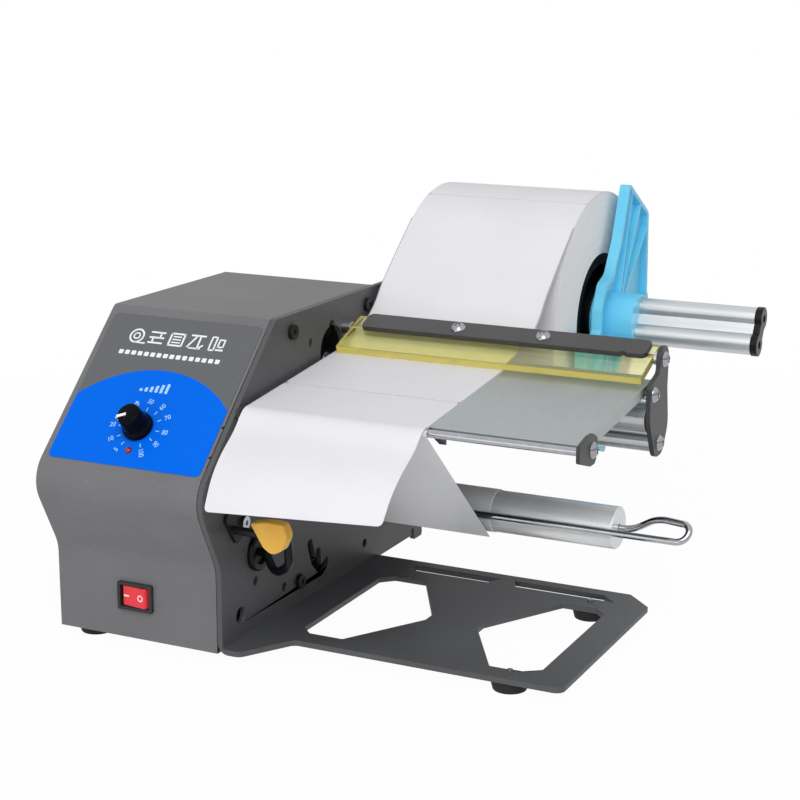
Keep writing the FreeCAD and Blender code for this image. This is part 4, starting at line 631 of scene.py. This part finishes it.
# Roll of labels: turns of liner as one body, and the labels of its outer turn
rollPaper = Finish("roll_paper", IOR=1.45)
rollFromAxis = rollPaper.span(rollPaper.centred((0, rollSet["depth"], rollSet["height"])), (0, 1, 1))
rollTurns = rollPaper.rings(rollFromAxis, 5.0, 3)
rollBands = rollPaper.rings(rollFromAxis, 0.35, 2)
rollEnd = rollPaper.absolute(rollPaper.facing(0)) > endSet["facing"]
rollEdge = rollPaper.mix(rollPaper.range(rollTurns * 0.6 + rollBands * 0.4, 0.3, 0.7), rgb(242, 242, 241),
                         rgb(252, 252, 250))
rollPaper.give("Base Color", rollPaper.mix(rollEnd, rgb(212, 213, 214), rollEdge))
rollPaper.give("Roughness", 0.55 + 0.2 * rollTurns)
rollPaper.bump(rollTurns * rollEnd, 0.4, 0.03)

rollBody = bmesh.new()
left, right, core, radius = webSet["left"], webSet["right"], rollSet["core"], rollSet["body"]
rim = rollSet["rim"]
rollProfile = [(left, core), (left, radius - rim), (left + rim, radius), (right - rim, radius),
               (right, radius - rim), (right, core), (left, core)]
lathe(rollBody, rollProfile, (0, rollSet["depth"], rollSet["height"]), steps=rollSet["steps"])
place("label_roll_body", closed(rollBody), rollPaper.material, "roll", "label_paper", ("label_roll",))

# label edges round the roll as angles, from where the web leaves it and on through a whole turn;
# the last label takes up what is left, so it is between half a pitch and one and a half
turnOf = math.degrees(webSet["labelPitch"] / rollSet["webRadius"])
seam = rollSet["seam"]
edges = [seam, rollSet["firstEdge"]]
while edges[-1] - 1.5 * turnOf > seam - 360:
    edges.append(edges[-1] - turnOf)
edges.append(seam - 360)
rollLabels = bmesh.new()
for high, low in zip(edges, edges[1:]):
    arc = Track(around(rollSet["depth"], rollSet["height"], rollSet["body"], high, low, 1.5))
    rounded = (high != seam, low != seam - 360)
    layOn(rollLabels, arc, labelLeft, labelRight, webSet["gap"] / 2 * rounded[0],
          arc.lengths[-1] - webSet["gap"] / 2 * rounded[1], 0, webSet["label"], webSet["corner"], 2.0, rounded)
place("roll_labels", rollLabels, labelWhite, "roll", "label_paper", ("label_roll",))
print("paper done")

# Liner wound on the winder: two turns whose edges don't quite meet
wrapSet = {"turns": [(2.7, 103.2, 11.04, 11.22), (3.0, 102.9, 11.22, 11.4)]}
wrap = bmesh.new()
for start, end, inner, outer in wrapSet["turns"]:
    lathe(wrap, [(start, inner), (start, outer), (end, outer), (end, inner), (start, inner)],
          (0, winderSet["depth"], winderSet["height"]), steps=96)
place("wound_liner", closed(wrap), linerGrey, "winder", "liner_paper", ("liner_wrap",))

# Presser plate: clear acrylic that glows yellow at its sawn edges
acrylicSet = {"slope": 21.5, "tint": rgb(228, 226, 172), "edgeTint": rgb(238, 222, 120)}


def acrylic(name, tint, roughness, milk):
    clear = Finish(name, IOR=1.49)
    saw = clear.noise(clear.stretched((2200, 60, 60)), 1.0, 3)
    clear.give("Transmission Weight", 1.0 - milk)
    deeper = tuple(c * 0.97 for c in tint[:3]) + (1,)
    cloud = clear.range(clear.noise(clear.point(), 9, 2), 0.3, 0.7)
    clear.give("Base Color", clear.mix(cloud, tint, deeper))
    clear.give("Roughness", roughness + 0.05 * saw)
    clear.bump(saw, 0.25, 0.004)
    rays = clear.add("ShaderNodeLightPath", output="Is Shadow Ray")
    through = clear.add("ShaderNodeBsdfTransparent", None, {"Color": tint})
    clear.blend(rays, through)
    return clear.material


acrylicFace = acrylic("acrylic", acrylicSet["tint"], 0.03, 0.04)
acrylicEdge = acrylic("acrylic_edge", acrylicSet["edgeTint"], 0.18, 0.55)
presser = traced("presser_plate")
slopeAngle = math.radians(acrylicSet["slope"])
plateNormal = Vector((0, -math.sin(slopeAngle), math.cos(slopeAngle)))
for f in presser.faces:
    f.normal_update()
    f.material_index = 0 if abs(f.normal.dot(plateNormal)) > 0.9 else 1
place("acrylic_presser", presser, [acrylicFace, acrylicEdge], bodyOf("presser_plate"), "acrylic",
      ("presser_plate",), 0.35, 2)
print("presser done")

# Control face: sticker, dial and knob, laid out on the sloped face as (x, up the slope, out of the face)
dialSet = {"x": -50.2, "down": -73.0, "tickRadius": 11.2, "tick": (2.1, 0.5), "numberRadius": 15.8,
           "size": 3.8, "bold": 0.006, "narrow": 0.93,
           "numbers": [(5, 242, 62), (10, 212, 32), (20, 180, 6), (30, 149, -31), (40, 119, -61),
                       (50, 90, -12),
                       (60, 59, 59), (70, 30, 30), (80, -3, 0), (90, -31, -31), (100, -62, -62)]}
stickerSet = {"thickness": 0.3, "arcX": -50.0, "arcDown": -100.8, "arcRadius": 62.8, "soft": 0.1,
              "printed": 0.03}

stickerPrint = Finish("sticker_print", IOR=1.15)
arcPlace = faceToDraft @ Vector((stickerSet["arcX"], stickerSet["arcDown"], 0))
onFace = stickerPrint.centred(tuple(arcPlace), (faceAngle, 0, 0))
fromArc = stickerPrint.span(onFace, (1, 1, 0))
grainy = stickerPrint.noise(stickerPrint.point(), 700, 3)
grey = stickerPrint.mix(grainy, rgb(102, 103, 106), rgb(108, 109, 112))
blue = stickerPrint.mix(grainy, rgb(0, 104, 231), rgb(0, 108, 236))
insideArc, outsideArc = (stickerSet["arcRadius"] + side * stickerSet["soft"] for side in (-1, 1))
pastArc = stickerPrint.range(fromArc, insideArc, outsideArc)
stickerPrint.give("Base Color", stickerPrint.mix(pastArc, blue, grey))
stickerPrint.give("Roughness", 0.34 + 0.12 * grainy)
stickerPrint.bump(grainy, 0.25, 0.01)
dress("control_sticker", "face_sticker", stickerPrint.material, "sticker_print", 0.0)


def ink(name, low, high):
    layer = Finish(name, IOR=1.3)
    worn = layer.noise(layer.point(), 900, 3)
    layer.give("Base Color", layer.mix(worn, low, high))
    layer.give("Roughness", 0.4 + 0.15 * worn)
    return layer.material


whiteInk = ink("white_ink", rgb(236, 238, 240), rgb(246, 247, 248))
paleInk = ink("pale_ink", rgb(150, 206, 250), rgb(184, 224, 254))
knobWhite = ink("knob_white", rgb(240, 240, 240), rgb(250, 250, 250))
rockerInk = ink("rocker_ink", rgb(250, 214, 216), rgb(255, 226, 228))


def stamp(bm, x, y, width, height, angle=0.0, corner=0.0, low=0.0, thick=0.03):
    # a flat printed bar, turned about its middle
    bar = bmesh.new()
    bmesh.ops.create_grid(bar, x_segments=1, y_segments=1, size=0.5)
    bmesh.ops.scale(bar, vec=(width, height, 1), verts=bar.verts)
    if corner:
        bmesh.ops.bevel(bar, geom=bar.verts[:], affect="VERTICES", offset=corner, offset_type="OFFSET",
                        segments=4, profile=0.5, material=-1)
    lift(bar, thick)
    join(bm, bar, Matrix.Translation((x, y, low)) @ Matrix.Rotation(math.radians(angle), 4, "Z"))


def lift(bm, thick):
    top = bmesh.ops.extrude_face_region(bm, geom=bm.faces[:])
    raised = [v for v in top["geom"] if isinstance(v, bmesh.types.BMVert)]
    bmesh.ops.translate(bm, verts=raised, vec=(0, 0, thick))
    bmesh.ops.recalc_face_normals(bm, faces=bm.faces)


def join(bm, part, matrix):
    bmesh.ops.transform(part, matrix=matrix, verts=part.verts)
    shape = bpy.data.meshes.new("shape")
    part.to_mesh(shape)
    part.free()
    bm.from_mesh(shape)
    bpy.data.meshes.remove(shape)


def hoop(bm, x, y, radius, stroke, low=0.0, thick=0.03, squeeze=1.0, steps=32):
    # a flat printed ring
    ring = bmesh.new()
    bmesh.ops.create_circle(ring, cap_ends=False, radius=radius, segments=steps)
    outside = bmesh.ops.extrude_edge_only(ring, edges=ring.edges[:])
    inner = [v for v in outside["geom"] if isinstance(v, bmesh.types.BMVert)]
    bmesh.ops.scale(ring, vec=((radius - stroke) / radius,) * 2 + (1,), verts=inner)
    lift(ring, thick)
    join(bm, ring, Matrix.Translation((x, y, low)) @ Matrix.Diagonal((squeeze, 1, 1, 1)))


def frameMark(bm, x, y, width, height, stroke, corner=0.0):
    # an outlined rectangle
    for side in (-1, 1):
        stamp(bm, x + side * (width - stroke) / 2, y, stroke, height, corner=corner)
        stamp(bm, x, y + side * (height - stroke) / 2, width, stroke, corner=corner)


def onSticker(bm):
    # from the face's own plane to the printed side of the sticker
    toPrint = faceToDraft @ Matrix.Translation((0, 0, stickerSet["thickness"]))
    bmesh.ops.transform(bm, matrix=toPrint, verts=bm.verts)
    return bm


def numeral(bm, text, x, y, size, angle):
    curve = bpy.data.curves.new("numeral", "FONT")
    curve.body = text
    curve.size = size
    curve.align_x = "CENTER"
    curve.align_y = "CENTER"
    curve.extrude = stickerSet["printed"] / 2
    curve.offset = size * dialSet["bold"]
    holder = bpy.data.objects.new("numeral", curve)
    bpy.context.scene.collection.objects.link(holder)
    bpy.context.view_layer.update()
    drawn = bpy.data.meshes.new_from_object(holder.evaluated_get(bpy.context.evaluated_depsgraph_get()))
    part = bmesh.new()
    part.from_mesh(drawn)
    bmesh.ops.remove_doubles(part, verts=part.verts, dist=0.0005)
    join(bm, part, Matrix.Translation((x, y, stickerSet["printed"] / 2))
         @ Matrix.Rotation(math.radians(angle), 4, "Z") @ Matrix.Diagonal((dialSet["narrow"], 1, 1, 1)))
    bpy.data.objects.remove(holder)
    bpy.data.curves.remove(curve)
    bpy.data.meshes.remove(drawn)


dial = bmesh.new()
for number, angle, turn in dialSet["numbers"]:
    across, up = math.cos(math.radians(angle)), math.sin(math.radians(angle))
    numeral(dial, str(number), dialSet["x"] + across * dialSet["numberRadius"],
            dialSet["down"] + up * dialSet["numberRadius"], dialSet["size"], turn)
    stamp(dial, dialSet["x"] + across * dialSet["tickRadius"], dialSet["down"] + up * dialSet["tickRadius"],
          *dialSet["tick"], angle)
place("dial_marks", onSticker(dial), paleInk, "frame", "sticker_print")

# Generic pictograms where a title would stand: roll, web, label, peeling and count, over a dashed rule
titleSet = {"left": -80.5, "pitch": 12.2, "middle": -18.6, "size": 9.0, "stroke": 1.05, "ruleLeft": -82.5,
            "ruleDown": -29.2, "dashes": 16, "dash": 2.7, "gap": 1.2, "ruleTall": 2.6, "dashCorner": 0.5}
marks = bmesh.new()
size, stroke = titleSet["size"], titleSet["stroke"]
soft = stroke / 3
x, y = titleSet["left"] + size / 2, titleSet["middle"]
hoop(marks, x, y, size / 2, stroke)
hoop(marks, x, y, size / 4.2, stroke * 0.8)
stamp(marks, x + size * 0.36, y - size * 0.46, size * 0.72, stroke * 0.8)
x += titleSet["pitch"]
for row in (-1, 0, 1):
    stamp(marks, x, y + row * size * 0.36, size, stroke, corner=soft)
for row in (-1, 1):
    stamp(marks, x + row * size * 0.22, y + row * size * 0.18, stroke, size * 0.36)
x += titleSet["pitch"]
frameMark(marks, x, y, size, size * 0.92, stroke, soft)
for row in (-1, 0, 1):
    stamp(marks, x, y + row * size * 0.2, size * 0.58, stroke * 0.75)
x += titleSet["pitch"]
stamp(marks, x, y + size * 0.42, size, stroke, corner=soft)
stamp(marks, x - size * 0.30, y, size * 0.95, stroke, 62, soft)
stamp(marks, x + size * 0.16, y - size * 0.05, size * 0.80, stroke, 90, soft)
stamp(marks, x + size * 0.34, y - size * 0.32, size * 0.42, stroke, 40, soft)
stamp(marks, x, y - size * 0.45, size * 0.8, stroke * 0.8, corner=soft)
x += titleSet["pitch"]
frameMark(marks, x - size * 0.26, y, size * 0.42, size, stroke * 0.9, soft)
frameMark(marks, x + size * 0.28, y + size * 0.05, size * 0.44, size * 0.6, stroke * 0.9, soft)
stamp(marks, x + size * 0.28, y - size * 0.4, size * 0.5, stroke)
for i in range(titleSet["dashes"]):
    start = titleSet["ruleLeft"] + i * (titleSet["dash"] + titleSet["gap"])
    stamp(marks, start + titleSet["dash"] / 2, titleSet["ruleDown"], titleSet["dash"], titleSet["ruleTall"],
          corner=titleSet["dashCorner"])
place("title_pictograms", onSticker(marks), whiteInk, "frame", "sticker_print")

# A small rising row of bars over the dial, for speed
speedSet = {"left": -59.0, "low": -51.5, "bars": 6, "pitch": 3.0, "width": 1.7, "first": 1.6, "step": 0.85,
            "corner": 0.25}
speed = bmesh.new()
for i in range(speedSet["bars"]):
    tall = speedSet["first"] + i * speedSet["step"]
    stamp(speed, speedSet["left"] + i * speedSet["pitch"], speedSet["low"] + tall / 2, speedSet["width"],
          tall, corner=speedSet["corner"])
place("speed_pictogram", onSticker(speed), paleInk, "frame", "sticker_print")

# Knob: a smooth cone that flares into its skirt
knobSet = {"pointer": 205.0,
           "profile": [(-6.5, 0), (-6.5, 2.95), (0.8, 2.95), (0.8, 7.8), (1.05, 8.1), (1.4, 8.2), (2.6, 8.2),
                       (3.3, 8.08), (3.8, 7.78), (4.3, 7.38), (4.9, 7.08), (5.6, 6.9), (6.6, 6.78),
                        (10.0, 6.4),
                       (13.2, 6.04), (13.7, 5.86), (13.92, 5.56), (14.0, 5.2), (14.0, 0)],
           "bar": (5.2, 1.7, 0.4), "barMiddle": 3.55, "barTop": 14.02, "stripe": (8.6, 0.75, 0.3),
           "stripeMiddle": (6.43, 9.2), "stripeLean": 96}
knob = bmesh.new()
lathe(knob, knobSet["profile"], along=(0, 0, 1), steps=96)
closed(knob)
toKnob = faceToDraft @ Matrix.Translation((dialSet["x"], dialSet["down"], 0))
bmesh.ops.transform(knob, matrix=toKnob, verts=knob.verts)
place("dial_knob", knob, knobBlack, "speed_knob", "black_plastic", ("speed_knob",), sharp=50)
pointer = bmesh.new()
onTop = Matrix.Translation((knobSet["barMiddle"], 0, knobSet["barTop"] - knobSet["bar"][2] / 2))
downSide = (Matrix.Translation((knobSet["stripeMiddle"][0], 0, knobSet["stripeMiddle"][1]))
            @ Matrix.Rotation(math.radians(knobSet["stripeLean"]), 4, "Y"))
for size, seat in ((knobSet["bar"], onTop), (knobSet["stripe"], downSide)):
    bar = bmesh.new()
    bmesh.ops.create_cube(bar, size=1)
    bmesh.ops.scale(bar, vec=size, verts=bar.verts)
    join(pointer, bar, Matrix.Rotation(math.radians(knobSet["pointer"]), 4, "Z") @ seat)
bmesh.ops.transform(pointer, matrix=toKnob, verts=pointer.verts)
place("pointer_line", pointer, knobWhite, "speed_knob", "knob_mark", ("knob_pointer",), 0.08)

# On and off marks of the rocker, on its two slopes
rockerSet = {"x": -51.1, "height": 29.1, "pivot": 3.0, "proud": 4.8, "angle": -7.0, "on": -4.6, "off": 4.4,
             "bar": (3.4, 1.0), "barCorner": 0.2, "ring": (1.8, 0.7), "sunk": {"low": -0.2, "thick": 0.25}}
rockerMarks = bmesh.new()
stamp(rockerMarks, rockerSet["on"], 0, *rockerSet["bar"], corner=rockerSet["barCorner"], **rockerSet["sunk"])
hoop(rockerMarks, rockerSet["off"], 0, *rockerSet["ring"], **rockerSet["sunk"])
rockerFace = (Matrix.Translation((rockerSet["x"], rockerSet["pivot"], rockerSet["height"]))
              @ Matrix.Rotation(math.radians(rockerSet["angle"]), 4, "Z")
              @ Matrix.Translation((0, -rockerSet["proud"], 0))
              @ Matrix.Rotation(math.radians(90), 4, "X"))
bmesh.ops.transform(rockerMarks, matrix=rockerFace, verts=rockerMarks.verts)
place("rocker_marks", rockerMarks, rockerInk, "switch_rocker", "red_plastic")
print("control face done")

# Studio: pale floor, soft light, white surroundings
studioSet = {"floor": 6.0, "floorTone": rgb(236, 236, 238), "glow": 0.97, "fade": (0.30, 0.75), "sky": 0.42,
             "aim": (0, 0, 0.1), "away": 2.2, "size": 1.5, "key": (0.16, -0.38, 0.35), "keyPower": 26.5,
             "fill": (-0.2, -0.97, 0.04), "fillPower": 7.5, "horizon": (0.0, 0.5, 0.45, 1.0)}


def cleanRays(finish):
    # camera, glossy and transmission rays, which see the surroundings as plain white
    seen = finish.add("ShaderNodeLightPath", output="Is Camera Ray")
    for kind in ("Is Glossy Ray", "Is Transmission Ray"):
        ray = finish.add("ShaderNodeLightPath", output=kind)
        seen = finish.add("ShaderNodeMath", {"operation": "MAXIMUM"}, {0: seen, 1: ray})
    return seen


floorBm = bmesh.new()
bmesh.ops.create_grid(floorBm, x_segments=2, y_segments=2, size=studioSet["floor"] / 2)
floorMesh = bpy.data.meshes.new("studio_floor")
floorBm.to_mesh(floorMesh)
floorBm.free()
floorPiece = bpy.data.objects.new("studio_floor", floorMesh)
bpy.context.scene.collection.objects.link(floorPiece)
pale = Finish("studio_floor", Roughness=0.9, Base_Color=studioSet["floorTone"])
fromMiddle = pale.span(pale.point(), (1, 1, 0))
share = pale.range(fromMiddle, *studioSet["fade"], studioSet["glow"], 1.0) * cleanRays(pale)
white = pale.add("ShaderNodeEmission", None, {"Color": (1, 1, 1, 1), "Strength": 1.0})
pale.blend(share, white)
floorMesh.materials.append(pale.material)


class Sky(Finish):
    # the world's own node tree, mixed like a finish

    def __init__(self, world):
        world.use_nodes = True
        self.tree = world.node_tree
        self.tree.nodes.clear()
        self.out = self.tree.nodes.new("ShaderNodeOutputWorld")


world = bpy.data.worlds.new("studio")
bpy.context.scene.world = world
sky = Sky(world)
# metals see the studio darker near the horizon
gloss = sky.add("ShaderNodeLightPath", output="Is Glossy Ray")
horizon = sky.range(sky.split(sky.point())[2], *studioSet["horizon"])
strength = cleanRays(sky) * (1 - studioSet["sky"]) + studioSet["sky"]
strength = strength * (1 - gloss + gloss * horizon)
backdrop = sky.add("ShaderNodeBackground", None, {"Color": (1, 1, 1, 1), "Strength": strength})
sky.tree.links.new(backdrop.socket, sky.out.inputs[0])


def softbox(name, way, power):
    lamp = bpy.data.lights.new(name, "AREA")
    lamp.shape = "DISK"
    lamp.size = studioSet["size"]
    lamp.energy = power
    holder = bpy.data.objects.new(name, lamp)
    bpy.context.scene.collection.objects.link(holder)
    aim = Vector(way).normalized()
    holder.matrix_world = (Matrix.Translation(Vector(studioSet["aim"]) + aim * studioSet["away"])
                           @ aim.to_track_quat("Z", "Y").to_matrix().to_4x4())


softbox("key", studioSet["key"], studioSet["keyPower"])
softbox("fill", studioSet["fill"], studioSet["fillPower"])
bpy.context.scene.view_settings.view_transform = "Standard"
print("studio done")
